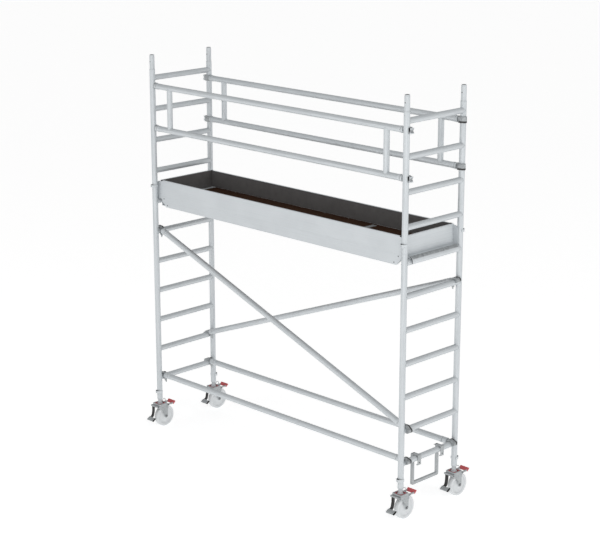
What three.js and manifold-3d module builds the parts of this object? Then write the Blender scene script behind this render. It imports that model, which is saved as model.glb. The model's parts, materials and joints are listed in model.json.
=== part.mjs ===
// Mobile tower scaffold: two-frame aluminium tower on four braked casters, with one boarded
// platform, double guardrails, base tubes, diagonals and an access stirrup.
// Millimetres, +Z up, X along the bay, Y across it. Origin on the floor, midway between the
// four standards.
import * as THREE from 'three';
import { mergeVertices } from 'three/addons/utils/BufferGeometryUtils.js';
import Module from 'manifold-3d';

const wasm = await Module();
wasm.setup();

// ---- Driving dimensions ----
const BAY_LENGTH = 3000; // between the standards' axes, along X
const FRAME_WIDTH = 672; // between the standards' axes, along Y
const RUNG_PITCH = 280;
const LOWER_RUNGS = 7;
const UPPER_RUNGS = 4;
const FIRST_RUNG_RISE = 205; // a frame's lower end to its first rung
const LAST_RUNG_DROP = 75; // a frame's last rung to its tube end
const TUBE_D = 50; // standards, rails, base tubes, diagonals
const TUBE_WALL = 2;
const RUNG_D = 50;
const SPIGOT_LENGTH = 130;
const SPIGOT_WALL = 3.5;
const SPIGOT_SEAT = 90; // spigot inside its own tube
const SPIGOT_TAPER = 18;

const GAP = 0.3; // between pieces that touch
const SLIP = 0.5; // a spigot or stem inside a tube
const JAW_CLEARANCE = 0.8; // a claw round its tube

const CLIP_RISE = 68; // a frame's lower end to its clip
const CLIP_HEIGHT = 22;
const CLIP_WALL = 3.2;
const CLIP_BOW = 15; // how far the clip's back stands off the tube
const CLIP_LEG = 12; // how far its ends reach past the tube's middle
const CLIP_PIN_D = 8;

const WHEEL_D = 200;
const WHEEL_WIDTH = 46;
const WHEEL_TRAIL = 46; // wheel axle behind the swivel axis
const WHEEL_WEB = 30;
const WHEEL_RIM = 21; // tread's depth at the wheel's faces
const WHEEL_FLARE = 3; // slope of the rim and hub into the web
const HUB_D = 40;
const HUB_WIDTH = 51;
const AXLE_D = 16;
const AXLE_NUT_T = 7;
const AXLE_CLEARANCE = 0.4;
const FORK_PLATE = 100; // square top plate
const FORK_PLATE_T = 30;
const FORK_PLATE_GAP = 5; // above the wheel
const FORK_RECESS = 80;
const FORK_RECESS_DEPTH = 8;
const FORK_LEG_T = 5;
const FORK_LEG_GAP = 1.5; // beside the hub
const FORK_LEG_FOOT_R = 19; // leg's end round the axle
const FORK_SKIRT_DROP = 13; // leg's front edge below the plate
const FORK_WAIST_DROP = 35; // where the leg narrows, below the plate
const FORK_BACK_REACH = 25; // leg's back edge behind the plate
const FORK_BACK_DROP = 22;
const STEM_D = 37;
const STEM_NECK = 41; // visible neck between plate and flange
const STEM_PLUG = 120; // inside the frame tube
const STEM_FLANGE_T = 4;
const STEM_HEAD_LAP = 4; // rivet head beyond the stem, under the plate
const STEM_COLLAR_LAP = 7; // collar beyond the stem, in the recess
const STEM_COLLAR_T = 6;
const STEM_CLEARANCE = 0.8; // stem in the plate
const PIVOT_D = 10; // pedal and lever pins
const PIVOT_BOSS_D = 18;
const PIVOT_REACH = 10; // pin axis beyond the plate's edge
const PIVOT_RISE = 7; // pin axis above the plate's underside
const PIVOT_CLEARANCE = 0.6;
const EAR_T = 5.5;
const EAR_HALF = 9; // ear's half height
const PEDAL_WIDTH = 90;
const PEDAL_T = 7;
const PEDAL_REACH = 70; // foot plate's tip ahead of the tyre
const PEDAL_TIP_DROP = 13; // tip below axle height
const PEDAL_KNEE_REACH = 23; // arm's bend ahead of the tyre
const PEDAL_KNEE_RISE = 16; // arm's bend above axle height
const PEDAL_FOOT_LENGTH = 30;
const PEDAL_NOSE = 4; // foot plate's pointed edge
const PEDAL_ARM_X = [-36, -6];
const LEVER_WIDTH = 90;
const LEVER_ARM_INSET = 11; // arm's inner face from the pad's end
const LEVER_PAD_REACH = 6; // pad's tip behind the tyre
const LEVER_PAD_LENGTH = 26;
const LEVER_PAD_RISE = 24;
const LEVER_PAD_T = 8;

const GUARD_INSET = 12; // rails' axis inside the standards' axis
const GUARD_TOP_DROP = 72; // upper rail below the top rung
const GUARD_LOW_RISE = 109; // lower rail above the upper frame's second rung
const GUARD_STRUT_INSET = 215; // struts' axis from the standards' axis
const GUARD_JAW_WALL = 18;
const GUARD_JAW_HEIGHT = 48;
const GUARD_FINGER_REACH = 57; // one end's two fingers, from the standard's axis
const GUARD_NOSE_REACH = 36; // the other end's short nose
const GUARD_NOTCH = 17; // slot between a jaw's two fingers
const GUARD_SOCKET_LENGTH = 80; // from the standard's axis
const CLAW_LIP = 8; // how far a jaw's fingers reach past the tube's middle
const CLAW_HEEL = 7; // how much further its inner side reaches
const SOCKET_LAP = 6; // socket run into its jaw
const SOCKET_WALL = 3;
const VENT_D = 12;

const BRACE_RISE = 16; // a brace's axis above its rungs' axes
const BRACE_JAW_WALL = 16;
const BRACE_JAW_WIDTH = 44;
const BRACE_SOCKET_LENGTH = 105; // from the rung's axis
const BRACE_CLEARANCE = 3; // claw to the standard beside it
const BRACE_NOSE_REACH = 27; // a claw's rounded nose beyond the rung
const BRACE_NOSE_RISE = 8; // its top above the rung
const DIAGONAL_LOW_RUNG = 1; // rungs counted from 0 at the bottom
const DIAGONAL_HIGH_RUNG = 5;
const LATCH_T = 10;
const LATCH_BAR = 11;
const LATCH_DROP = 52;
const LATCH_OFFSET = 11.5; // latch's pivot inboard of the rung
const LATCH_SLOT_SIDE = 1.5; // claw's slot beside the latch
const LATCH_TOE = 15; // toe that reaches under the rung

const DECK_CLEARANCE = 3; // side faces to the standards
const HOOK_WALL = 15;
const HOOK_LIP_T = 6;
const HOOK_LIP_ANGLE = 22; // lip's end below the rung's middle, degrees
const HOOK_WEB = 5;
const HOOK_PLATE_LENGTH = 88; // inboard of the rung's axis
const HOOK_DEPTH = 83; // end profile's overall height
const DECK_T = 12;
const BEAM_WALL = 4;
const BEAM_LEDGE = 23;
const BEAM_END_INSET = 60; // beam's end from the standards' axis
const BEAM_CORNER_CUT = 55;
const HOOK_SEAT_GAP = 0.4; // hook on its rung
const HOOK_WEB_SET = 4; // end profile's web inboard of the rung
const HATCH_LENGTH = 600;
const DECK_END_LENGTH = 168;
const DECK_JOINT_GAP = 3;
const HATCH_CLEARANCE = 3; // hatch to the toe boards it rises between
const CROSS_MEMBER_WIDTH = 36;
const CROSS_MEMBER_DEPTH = 40;
const CROSS_MEMBER_WALL = 3;
const RING_WIRE_D = 6;
const RING_WIDTH = 110;
const RING_REACH = 60;
const RING_INSET = 110; // ring's pivot from the hatch's free edge
const RING_PIVOT_LENGTH = 18;
const RING_LIFT = 1; // lying ring above the hatch

const TOE_HEIGHT = 150.7;
const TOE_T = 15;
const END_BOARD_INSET = 40; // end board's outer face from the standards' axis
const CORNER_PLATE_T = 6;
const CORNER_PLATE_DROP = 10;
const CORNER_PLATE_RADIUS = 30;

const STIRRUP_WIDTH = 330;
const STIRRUP_DROP = 245; // below its rung's axis
const STIRRUP_BAR = 25;
const STIRRUP_BAR_T = 22;
const STIRRUP_STRAP_WIDTH = 42;
const STIRRUP_STRAP_T = 4.5;
const STIRRUP_PLATE_DROP = 56; // hanging plate below the rung's axis
const STIRRUP_LIP = 18;
const STIRRUP_LIP_INSET = 8;
const STIRRUP_RUNG_GAP = 0.8;

const TUBE_SIDES = 12;
const WHEEL_SIDES = 16;
const PIN_SIDES = 8;
const VENT_SIDES = 6;

// ---- Derived sizes ----
const tubeR = TUBE_D / 2;
const boreR = tubeR - TUBE_WALL;
const rungR = RUNG_D / 2;
const spigotR = boreR - SLIP;
const spigotBoreR = spigotR - SPIGOT_WALL;
const halfBay = BAY_LENGTH / 2;
const halfWidth = FRAME_WIDTH / 2;

const wheelR = WHEEL_D / 2;
const plateBottom = WHEEL_D + FORK_PLATE_GAP;
const plateTop = plateBottom + FORK_PLATE_T;
const frameFoot = plateTop + STEM_NECK + STEM_FLANGE_T; // lower frames' tube ends
const frameTubeLength = (rungs) => FIRST_RUNG_RISE + (rungs - 1) * RUNG_PITCH + LAST_RUNG_DROP;
const upperFoot = frameFoot + frameTubeLength(LOWER_RUNGS);
const lowerRungZ = (index) => frameFoot + FIRST_RUNG_RISE + index * RUNG_PITCH;
const upperRungZ = (index) => upperFoot + FIRST_RUNG_RISE + index * RUNG_PITCH;

const hookRungZ = lowerRungZ(LOWER_RUNGS - 1);
const hookR = rungR + HOOK_WALL;
const hookTop = hookRungZ + hookR;
const deckBottom = hookTop - HOOK_WEB;
const deckTop = deckBottom + DECK_T;
const platformBottom = hookTop - HOOK_DEPTH;
const sideFaceY = halfWidth - tubeR - DECK_CLEARANCE;
const ledgeInnerY = sideFaceY - BEAM_WALL - BEAM_LEDGE;
const beamHalfLength = halfBay - BEAM_END_INSET;
const deckHalfLength = halfBay - HOOK_PLATE_LENGTH - GAP;
const braceY = halfWidth - tubeR - BRACE_CLEARANCE - BRACE_JAW_WIDTH / 2;
const deckHalfWidth = sideFaceY - TOE_T - GAP;
const hatchHalfWidth = sideFaceY - TOE_T - HATCH_CLEARANCE;
const deckEndStart = deckHalfLength - DECK_END_LENGTH;
const hatchEnd = deckEndStart - DECK_JOINT_GAP;
const hatchStart = hatchEnd - HATCH_LENGTH;
const toeBottom = deckTop + GAP;
const toeTop = toeBottom + TOE_HEIGHT;
// A many-sided bore keeps its clearance to a round bar that lies at any turn in it.
const boreFor = (radius) => (radius + JAW_CLEARANCE) / Math.cos(Math.PI / TUBE_SIDES);

// ---- Solids: geometry in, manifold out ----
function toSolid(geometry) {
  const bare = geometry.clone();
  bare.deleteAttribute('normal');
  bare.deleteAttribute('uv');
  const merged = mergeVertices(bare, 1e-4);
  const index = merged.index.array;
  const triVerts = [];
  for (let i = 0; i < index.length; i += 3) {
    const [a, b, c] = [index[i], index[i + 1], index[i + 2]];
    if (a !== b && b !== c && c !== a) triVerts.push(a, b, c);
  }
  return new wasm.Manifold(new wasm.Mesh({
    numProp: 3,
    vertProperties: new Float32Array(merged.attributes.position.array),
    triVerts: new Uint32Array(triVerts),
  }));
}

function toGeometry(solid) {
  const mesh = solid.getMesh();
  const geometry = new THREE.BufferGeometry();
  geometry.setAttribute('position', new THREE.BufferAttribute(new Float32Array(mesh.vertProperties), 3));
  geometry.setIndex(new THREE.BufferAttribute(new Uint32Array(mesh.triVerts), 1));
  return geometry;
}

function join(...solids) {
  return solids.reduce((whole, piece) => whole.add(piece));
}

function cut(solid, ...tools) {
  return tools.reduce((rest, tool) => rest.subtract(tool), solid);
}

// A round bar between two points; topRadius tapers its far end.
function bar(radius, from, to, sides = TUBE_SIDES, topRadius = radius) {
  const start = new THREE.Vector3(...from);
  const way = new THREE.Vector3(...to).sub(start);
  const geometry = new THREE.CylinderGeometry(topRadius, radius, way.length(), sides);
  geometry.translate(0, way.length() / 2, 0);
  const turn = new THREE.Quaternion().setFromUnitVectors(new THREE.Vector3(0, 1, 0), way.normalize());
  geometry.applyQuaternion(turn);
  geometry.translate(start.x, start.y, start.z);
  return toSolid(geometry);
}

function block([x0, y0, z0], [x1, y1, z1]) {
  const geometry = new THREE.BoxGeometry(x1 - x0, y1 - y0, z1 - z0);
  geometry.translate((x0 + x1) / 2, (y0 + y1) / 2, (z0 + z1) / 2);
  return toSolid(geometry);
}

function outline(points) {
  return new THREE.Shape(points.map(([x, y]) => new THREE.Vector2(x, y)));
}

function extrusion(shape, depth, curveSegments) {
  return new THREE.ExtrudeGeometry(shape, { depth, bevelEnabled: false, curveSegments });
}

// A shape drawn in YZ, pulled along X.
function alongX(shape, x0, x1, curveSegments = 8) {
  const geometry = extrusion(shape, x1 - x0, curveSegments);
  const yzx = new THREE.Matrix4().makeBasis(
    new THREE.Vector3(0, 1, 0), new THREE.Vector3(0, 0, 1), new THREE.Vector3(1, 0, 0));
  geometry.applyMatrix4(yzx);
  geometry.translate(x0, 0, 0);
  return toSolid(geometry);
}

// A shape drawn in XZ, pulled along Y.
function alongY(shape, y0, y1, curveSegments = 8) {
  const geometry = extrusion(shape, y1 - y0, curveSegments);
  geometry.rotateX(Math.PI / 2);
  geometry.translate(0, y1, 0);
  return toSolid(geometry);
}

// A shape drawn in XY, pulled along Z.
function alongZ(shape, z0, z1, curveSegments = 8) {
  const geometry = extrusion(shape, z1 - z0, curveSegments);
  geometry.translate(0, 0, z0);
  return toSolid(geometry);
}

// A profile of [radius, height] points turned about Z.
function turned(profile, sides = TUBE_SIDES, phase = 0) {
  const points = profile.map(([r, h]) => new THREE.Vector2(r, h));
  const geometry = new THREE.LatheGeometry(points, sides, phase);
  geometry.rotateX(Math.PI / 2);
  return toSolid(geometry);
}

// ---- Ladder frames ----
// Local frame: origin midway between the two tube ends, standards at +-Y, rungs along Y.
function ladderFrame(rungs) {
  const length = frameTubeLength(rungs);
  const outer = [];
  const inner = [];
  for (const side of [-1, 1]) {
    const y = side * halfWidth;
    const taperStart = length + SPIGOT_LENGTH - SPIGOT_TAPER;
    outer.push(
      bar(tubeR, [0, y, 0], [0, y, length]),
      bar(spigotR, [0, y, length - 1], [0, y, taperStart]),
      bar(spigotR, [0, y, taperStart], [0, y, length + SPIGOT_LENGTH], TUBE_SIDES, spigotR - 4));
    inner.push(
      bar(boreR, [0, y, -1], [0, y, length - SPIGOT_SEAT]),
      bar(spigotBoreR - 1, [0, y, length - SPIGOT_SEAT - 1], [0, y, length + SPIGOT_LENGTH + 1]),
      bar(CLIP_PIN_D / 2 + SLIP, [0, side * (halfWidth - 1), CLIP_RISE],
        [0, side * (halfWidth + TUBE_D), CLIP_RISE], PIN_SIDES),
      bar(CLIP_PIN_D / 2 + SLIP, [0, side * (halfWidth - 1), length + CLIP_RISE],
        [0, side * (halfWidth + TUBE_D), length + CLIP_RISE], PIN_SIDES));
  }
  for (let index = 0; index < rungs; index += 1) {
    const z = FIRST_RUNG_RISE + index * RUNG_PITCH;
    const boreEnd = halfWidth - tubeR - 1;
    outer.push(bar(rungR, [0, -halfWidth, z], [0, halfWidth, z]));
    inner.push(
      bar(rungR - TUBE_WALL, [0, -boreEnd, z], [0, boreEnd, z]),
      bar(VENT_D / 2, [0, -halfWidth, z], [0, halfWidth, z], VENT_SIDES));
  }
  return cut(join(...outer), join(...inner));
}

// ---- Spring clip ----
// Local frame: origin on the tube's axis; the clip's back and pin face -Y.
function springClip() {
  const innerX = tubeR + JAW_CLEARANCE;
  const innerY = tubeR + CLIP_BOW;
  const outerX = innerX + CLIP_WALL;
  const band = new THREE.Shape();
  band.absellipse(0, 0, outerX, innerY + CLIP_WALL, 0, Math.PI, true);
  band.lineTo(-outerX, CLIP_LEG);
  band.lineTo(-innerX, CLIP_LEG);
  band.lineTo(-innerX, 0);
  band.absellipse(0, 0, innerX, innerY, Math.PI, 2 * Math.PI, false);
  band.lineTo(innerX, CLIP_LEG);
  band.lineTo(outerX, CLIP_LEG);
  const pinTip = spigotBoreR - 3;
  return join(
    alongZ(band, -CLIP_HEIGHT / 2, CLIP_HEIGHT / 2, 7),
    bar(CLIP_PIN_D / 2, [0, -innerY - 1, 0], [0, -pinTip, 0], PIN_SIDES));
}

// ---- Casters ----
// Local frame: origin on the floor under the swivel axis; the wheel trails towards +Y.
const recessFloor = plateTop - FORK_RECESS_DEPTH;
const stemR = STEM_D / 2;
const pivotY = FORK_PLATE / 2 + PIVOT_REACH;
const pivotZ = plateBottom + PIVOT_RISE;
const legInnerX = HUB_WIDTH / 2 + FORK_LEG_GAP;
const bossHalf = FORK_PLATE / 2 - EAR_T - 1;

function casterStem(pinSide) {
  const flangeBottom = frameFoot - STEM_FLANGE_T;
  const plugTop = frameFoot + STEM_PLUG;
  const plugBoreR = spigotBoreR - 1;
  const headBottom = WHEEL_D + 1; // the rivet head that keeps the fork on
  const headR = stemR + STEM_HEAD_LAP;
  const collarR = stemR + STEM_COLLAR_LAP;
  const collarTop = recessFloor + STEM_COLLAR_T;
  const body = turned([
    [0, headBottom], [headR, headBottom], [headR, plateBottom - GAP],
    [stemR, plateBottom - GAP], [stemR, recessFloor + GAP], [collarR, recessFloor + GAP],
    [collarR, collarTop], [stemR, collarTop], [stemR, flangeBottom],
    [tubeR, flangeBottom], [tubeR, frameFoot - GAP], [spigotR, frameFoot - GAP],
    [spigotR, plugTop], [plugBoreR, plugTop],
    [plugBoreR, frameFoot + STEM_FLANGE_T], [0, frameFoot + STEM_FLANGE_T],
  ]);
  const clipZ = frameFoot + CLIP_RISE;
  return cut(body, bar(CLIP_PIN_D / 2 + SLIP, [0, pinSide, clipZ], [0, pinSide * TUBE_D, clipZ], PIN_SIDES));
}

function forkLegOutline() {
  const half = FORK_PLATE / 2;
  const front = WHEEL_TRAIL - FORK_LEG_FOOT_R;
  const leg = new THREE.Shape();
  leg.moveTo(-half, plateBottom + 1);
  leg.lineTo(-half, plateBottom - FORK_SKIRT_DROP);
  leg.quadraticCurveTo(front - 4, plateBottom - FORK_WAIST_DROP, front, wheelR);
  leg.absarc(WHEEL_TRAIL, wheelR, FORK_LEG_FOOT_R, Math.PI, 2 * Math.PI, false);
  leg.lineTo(half + FORK_BACK_REACH, plateBottom - FORK_BACK_DROP);
  leg.lineTo(half, plateBottom + 1);
  return leg;
}

function casterFork() {
  const half = FORK_PLATE / 2;
  const recess = FORK_RECESS / 2;
  const pieces = [block([-half, -half, plateBottom], [half, half, plateTop])];
  for (const side of [-1, 1]) {
    const x0 = side > 0 ? legInnerX : -legInnerX - FORK_LEG_T;
    pieces.push(alongX(forkLegOutline(), x0, x0 + FORK_LEG_T, 5));
    for (const end of [-1, 1]) {
      const ys = [end * (half - 1), end * (pivotY + PIVOT_BOSS_D / 2)].sort((a, b) => a - b);
      const xs = [side * (half - EAR_T), side * half].sort((a, b) => a - b);
      pieces.push(block([xs[0], ys[0], pivotZ - EAR_HALF], [xs[1], ys[1], pivotZ + EAR_HALF]));
    }
  }
  const nutEnd = legInnerX + FORK_LEG_T + AXLE_NUT_T;
  pieces.push(bar(AXLE_D / 2, [-nutEnd, WHEEL_TRAIL, wheelR], [nutEnd, WHEEL_TRAIL, wheelR], PIN_SIDES));
  for (const y of [-pivotY, pivotY]) {
    pieces.push(bar(PIVOT_D / 2, [-half + 1, y, pivotZ], [half - 1, y, pivotZ], PIN_SIDES));
  }
  return cut(join(...pieces),
    block([-recess, -recess, recessFloor], [recess, recess, plateTop + 1]),
    bar(stemR + STEM_CLEARANCE, [0, 0, plateBottom - 1], [0, 0, recessFloor + 1]));
}

function casterWheel() {
  const flatR = 1 / Math.cos(Math.PI / WHEEL_SIDES);
  const tread = wheelR * flatR;
  const half = WHEEL_WIDTH / 2;
  const web = WHEEL_WEB / 2;
  const hub = HUB_WIDTH / 2;
  const bore = (AXLE_D / 2 + AXLE_CLEARANCE) * flatR;
  const hubR = HUB_D / 2;
  const rimR = tread - WHEEL_RIM;
  const wheel = new THREE.LatheGeometry([
    [bore, -hub], [hubR, -hub], [hubR + WHEEL_FLARE, -web], [rimR - WHEEL_FLARE, -web], [rimR, -half],
    [tread, -half], [tread, half], [rimR, half],
    [rimR - WHEEL_FLARE, web], [hubR + WHEEL_FLARE, web], [hubR, hub], [bore, hub], [bore, -hub],
  ].map(([r, h]) => new THREE.Vector2(r, h)), WHEEL_SIDES, Math.PI / WHEEL_SIDES);
  wheel.rotateZ(-Math.PI / 2);
  wheel.translate(0, WHEEL_TRAIL, wheelR);
  return toSolid(wheel);
}

// A rocker's boss round its pin, at the front (-1) or back (1) of the fork plate.
function pivotBoss(end) {
  const y = end * pivotY;
  return bar(PIVOT_BOSS_D / 2, [-bossHalf, y, pivotZ], [bossHalf, y, pivotZ], PIN_SIDES);
}

function pivotBore(end) {
  const y = end * pivotY;
  return bar(PIVOT_D / 2 + PIVOT_CLEARANCE, [-FORK_PLATE, y, pivotZ], [FORK_PLATE, y, pivotZ], PIN_SIDES);
}

function brakePedal() {
  const tyreFront = WHEEL_TRAIL - wheelR;
  const tipY = tyreFront - PEDAL_REACH;
  const tipZ = wheelR - PEDAL_TIP_DROP;
  const kneeY = tyreFront - PEDAL_KNEE_REACH;
  const kneeZ = wheelR + PEDAL_KNEE_RISE;
  const slope = (kneeZ - tipZ) / (kneeY - tipY);
  const footY = tipY + PEDAL_FOOT_LENGTH;
  const footZ = tipZ + slope * PEDAL_FOOT_LENGTH;
  const armZ = (pivotZ + kneeZ) / 2;
  const arm = outline([
    [-pivotY - 8, pivotZ], [-pivotY - 8, armZ], [kneeY, kneeZ + PEDAL_T],
    [footY, footZ + PEDAL_T], [footY, footZ], [kneeY + 4, kneeZ],
    [-pivotY - 1, armZ], [-pivotY + 2, pivotZ],
  ]);
  const foot = outline([
    [footY + 1, footZ + slope + PEDAL_T], [tipY, tipZ + PEDAL_T],
    [tipY - PEDAL_NOSE, tipZ + 2], [tipY, tipZ - 2], [footY + 1, footZ + slope],
  ]);
  return cut(
    join(
      pivotBoss(-1),
      alongX(arm, ...PEDAL_ARM_X),
      alongX(foot, -PEDAL_WIDTH / 2, PEDAL_WIDTH / 2)),
    pivotBore(-1));
}

function releaseLever() {
  const tipY = WHEEL_TRAIL + wheelR + LEVER_PAD_REACH;
  const heelY = tipY - LEVER_PAD_LENGTH;
  const heelZ = pivotZ - LEVER_PAD_RISE / 2 - 2;
  const tipZ = heelZ + LEVER_PAD_RISE;
  const armInner = LEVER_WIDTH / 2 - LEVER_ARM_INSET;
  const arm = outline([
    [pivotY, pivotZ - 6], [heelY - 2, pivotZ - 9], [heelY + 10, pivotZ + 3], [pivotY, pivotZ + 5],
  ]);
  const pad = outline([
    [heelY - 9, heelZ + LEVER_PAD_T], [heelY, heelZ], [tipY, tipZ], [tipY - 9, tipZ + LEVER_PAD_T],
  ]);
  return cut(
    join(
      pivotBoss(1),
      alongX(arm, armInner, bossHalf),
      alongX(arm, -bossHalf, -armInner),
      alongX(pad, -LEVER_WIDTH / 2, LEVER_WIDTH / 2)),
    pivotBore(1));
}

// ---- Guardrails ----
// Drawn for the -Y side; the +Y one is the same part turned half round.
function guardrail() {
  const y = -(halfWidth - GUARD_INSET);
  const upperZ = upperRungZ(UPPER_RUNGS - 1) - GUARD_TOP_DROP;
  const lowerZ = upperRungZ(1) + GUARD_LOW_RISE;
  const jawR = tubeR + GUARD_JAW_WALL;
  const socketEnd = halfBay - jawR + SOCKET_LAP;
  const boreEnd = halfBay - tubeR - GUARD_JAW_WALL - 15;
  const strutX = halfBay - GUARD_STRUT_INSET;
  const solid = [];
  const hollow = [];
  for (const z of [lowerZ, upperZ]) {
    solid.push(bar(tubeR, [-boreEnd, y, z], [boreEnd, y, z]));
    hollow.push(
      bar(boreR, [-boreEnd, y, z], [boreEnd, y, z]),
      bar(VENT_D / 2, [-halfBay, y, z], [halfBay, y, z], VENT_SIDES));
    for (const end of [-1, 1]) {
      const jawHalf = GUARD_JAW_HEIGHT / 2;
      const reach = end > 0 ? GUARD_FINGER_REACH : GUARD_NOSE_REACH;
      const post = [end * halfBay, -halfWidth];
      const lipY = post[1] - CLAW_LIP;
      const across = (u0, u1) => [post[0] + end * u0, post[0] + end * u1].sort((a, b) => a - b);
      const finger = across(tubeR, reach);
      const notch = across(GUARD_FINGER_REACH - GUARD_NOTCH, GUARD_FINGER_REACH + 1);
      const throat = across(-boreFor(tubeR), boreFor(tubeR));
      const outside = across(-jawR - 60, GUARD_FINGER_REACH + 5);
      solid.push(
        bar(tubeR + SOCKET_WALL, [end * (halfBay - GUARD_SOCKET_LENGTH), y, z], [end * socketEnd, y, z]),
        cut(
          join(
            bar(jawR, [...post, z - jawHalf], [...post, z + jawHalf]),
            block([finger[0], lipY, z - jawHalf], [finger[1], post[1] + tubeR, z + jawHalf])),
          block([outside[0], lipY - 2 * TUBE_D, z - TUBE_D], [outside[1], lipY, z + TUBE_D]),
          block([notch[0], lipY - TUBE_D, z - jawHalf / 2], [notch[1], lipY + TUBE_D, z + jawHalf / 2])));
      hollow.push(
        bar(boreFor(tubeR), [...post, z - TUBE_D], [...post, z + TUBE_D]),
        block([throat[0], post[1] - TUBE_D, z - TUBE_D], [throat[1], post[1], z + TUBE_D]));
    }
  }
  for (const end of [-1, 1]) {
    solid.push(bar(tubeR, [end * strutX, y, lowerZ], [end * strutX, y, upperZ]));
    hollow.push(
      bar(boreR, [end * strutX, y, lowerZ + tubeR + 1], [end * strutX, y, upperZ - tubeR - 1]),
      bar(VENT_D / 2, [end * strutX, y, lowerZ], [end * strutX, y, upperZ], VENT_SIDES));
  }
  return cut(join(...solid), join(...hollow));
}

// ---- Base tubes and diagonals ----
// Local frame: the two rungs' axes at +-span/2 on X, both along Y; claws hook on from above.
const latchPivotU = -(rungR + LATCH_OFFSET);
const latchPivotZ = -2;

function braceTube(span) {
  const half = span / 2;
  const jawR = rungR + BRACE_JAW_WALL;
  const jawHalf = BRACE_JAW_WIDTH / 2;
  const boreEnd = half - jawR - 8;
  const slotHalf = LATCH_T / 2 + LATCH_SLOT_SIDE;
  const solid = [bar(tubeR, [-boreEnd, 0, BRACE_RISE], [boreEnd, 0, BRACE_RISE])];
  const hollow = [
    bar(boreR, [-boreEnd, 0, BRACE_RISE], [boreEnd, 0, BRACE_RISE]),
    bar(VENT_D / 2, [-half, 0, BRACE_RISE], [half, 0, BRACE_RISE], VENT_SIDES),
  ];
  for (const end of [-1, 1]) {
    const along = (u0, u1) => [end * (half + u0), end * (half + u1)].sort((a, b) => a - b);
    const noseEnd = rungR + BRACE_NOSE_REACH;
    const noseTop = rungR + BRACE_NOSE_RISE;
    const noseR = (noseTop + CLAW_LIP) / 2;
    const noseX = end * (half + noseEnd - noseR);
    const neck = along(rungR / 2, noseEnd - noseR);
    const outerSide = along(0, noseEnd + 1);
    const innerSide = along(-BRACE_SOCKET_LENGTH, 0);
    const throat = along(-boreFor(rungR), boreFor(rungR));
    const slot = along(latchPivotU - 16, -rungR);
    solid.push(
      bar(tubeR + SOCKET_WALL, [end * (half - BRACE_SOCKET_LENGTH), 0, BRACE_RISE],
        [end * (half - jawR + SOCKET_LAP), 0, BRACE_RISE]),
      cut(
        join(
          bar(jawR, [end * half, -jawHalf, 0], [end * half, jawHalf, 0]),
          block([neck[0], -jawHalf, -CLAW_LIP], [neck[1], jawHalf, noseTop]),
          bar(noseR, [noseX, -jawHalf, noseTop - noseR], [noseX, jawHalf, noseTop - noseR])),
        block([outerSide[0], -TUBE_D, -2 * TUBE_D], [outerSide[1], TUBE_D, -CLAW_LIP]),
        block([innerSide[0], -TUBE_D, -2 * TUBE_D], [innerSide[1], TUBE_D, -CLAW_LIP - CLAW_HEEL])));
    hollow.push(
      bar(boreFor(rungR), [end * half, -TUBE_D, 0], [end * half, TUBE_D, 0]),
      block([throat[0], -TUBE_D, -TUBE_D], [throat[1], TUBE_D, 0]),
      block([slot[0], -slotHalf, -TUBE_D], [slot[1], slotHalf, -latchPivotZ + 5]));
  }
  return cut(join(...solid), join(...hollow));
}

// The latch of a brace's +X claw, in that brace's frame moved to the rung's axis.
function braceLatch() {
  const left = latchPivotU - LATCH_BAR / 2;
  const right = latchPivotU + LATCH_BAR / 2;
  const shape = new THREE.Shape();
  shape.moveTo(right, latchPivotZ);
  shape.absarc(latchPivotU, latchPivotZ, LATCH_BAR / 2, 0, Math.PI, false);
  shape.lineTo(left, -LATCH_DROP + 4);
  shape.lineTo(latchPivotU, -LATCH_DROP);
  shape.lineTo(right - 2, -rungR - 13);
  shape.lineTo(right + LATCH_TOE, -rungR - 9);
  shape.lineTo(right + LATCH_TOE, -rungR - 4);
  shape.lineTo(right, -rungR - 2);
  return alongY(shape, -LATCH_T / 2, LATCH_T / 2, 5);
}

// ---- Platform ----
function platformBeam() {
  const webInner = sideFaceY - BEAM_WALL;
  const ledgeTop = deckBottom - GAP;
  const seatInner = sideFaceY - TOE_T; // the toe board stands on this flange
  const section = outline([
    [-sideFaceY, platformBottom], [-ledgeInnerY, platformBottom], [-ledgeInnerY, platformBottom + BEAM_WALL],
    [-webInner, platformBottom + BEAM_WALL], [-webInner, ledgeTop - BEAM_WALL],
    [-ledgeInnerY, ledgeTop - BEAM_WALL], [-ledgeInnerY, ledgeTop], [-webInner, ledgeTop],
    [-webInner, deckTop - BEAM_WALL], [-seatInner, deckTop - BEAM_WALL], [-seatInner, deckTop],
    [-sideFaceY, deckTop],
  ]);
  const corner = (end) => outline([
    [end * (beamHalfLength + 1), platformBottom - 1],
    [end * (beamHalfLength + 1), platformBottom + BEAM_CORNER_CUT],
    [end * (beamHalfLength - BEAM_CORNER_CUT), platformBottom - 1],
  ]);
  return cut(
    alongX(section, -beamHalfLength, beamHalfLength),
    alongY(corner(1), -halfWidth, 0),
    alongY(corner(-1), -halfWidth, 0));
}

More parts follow.
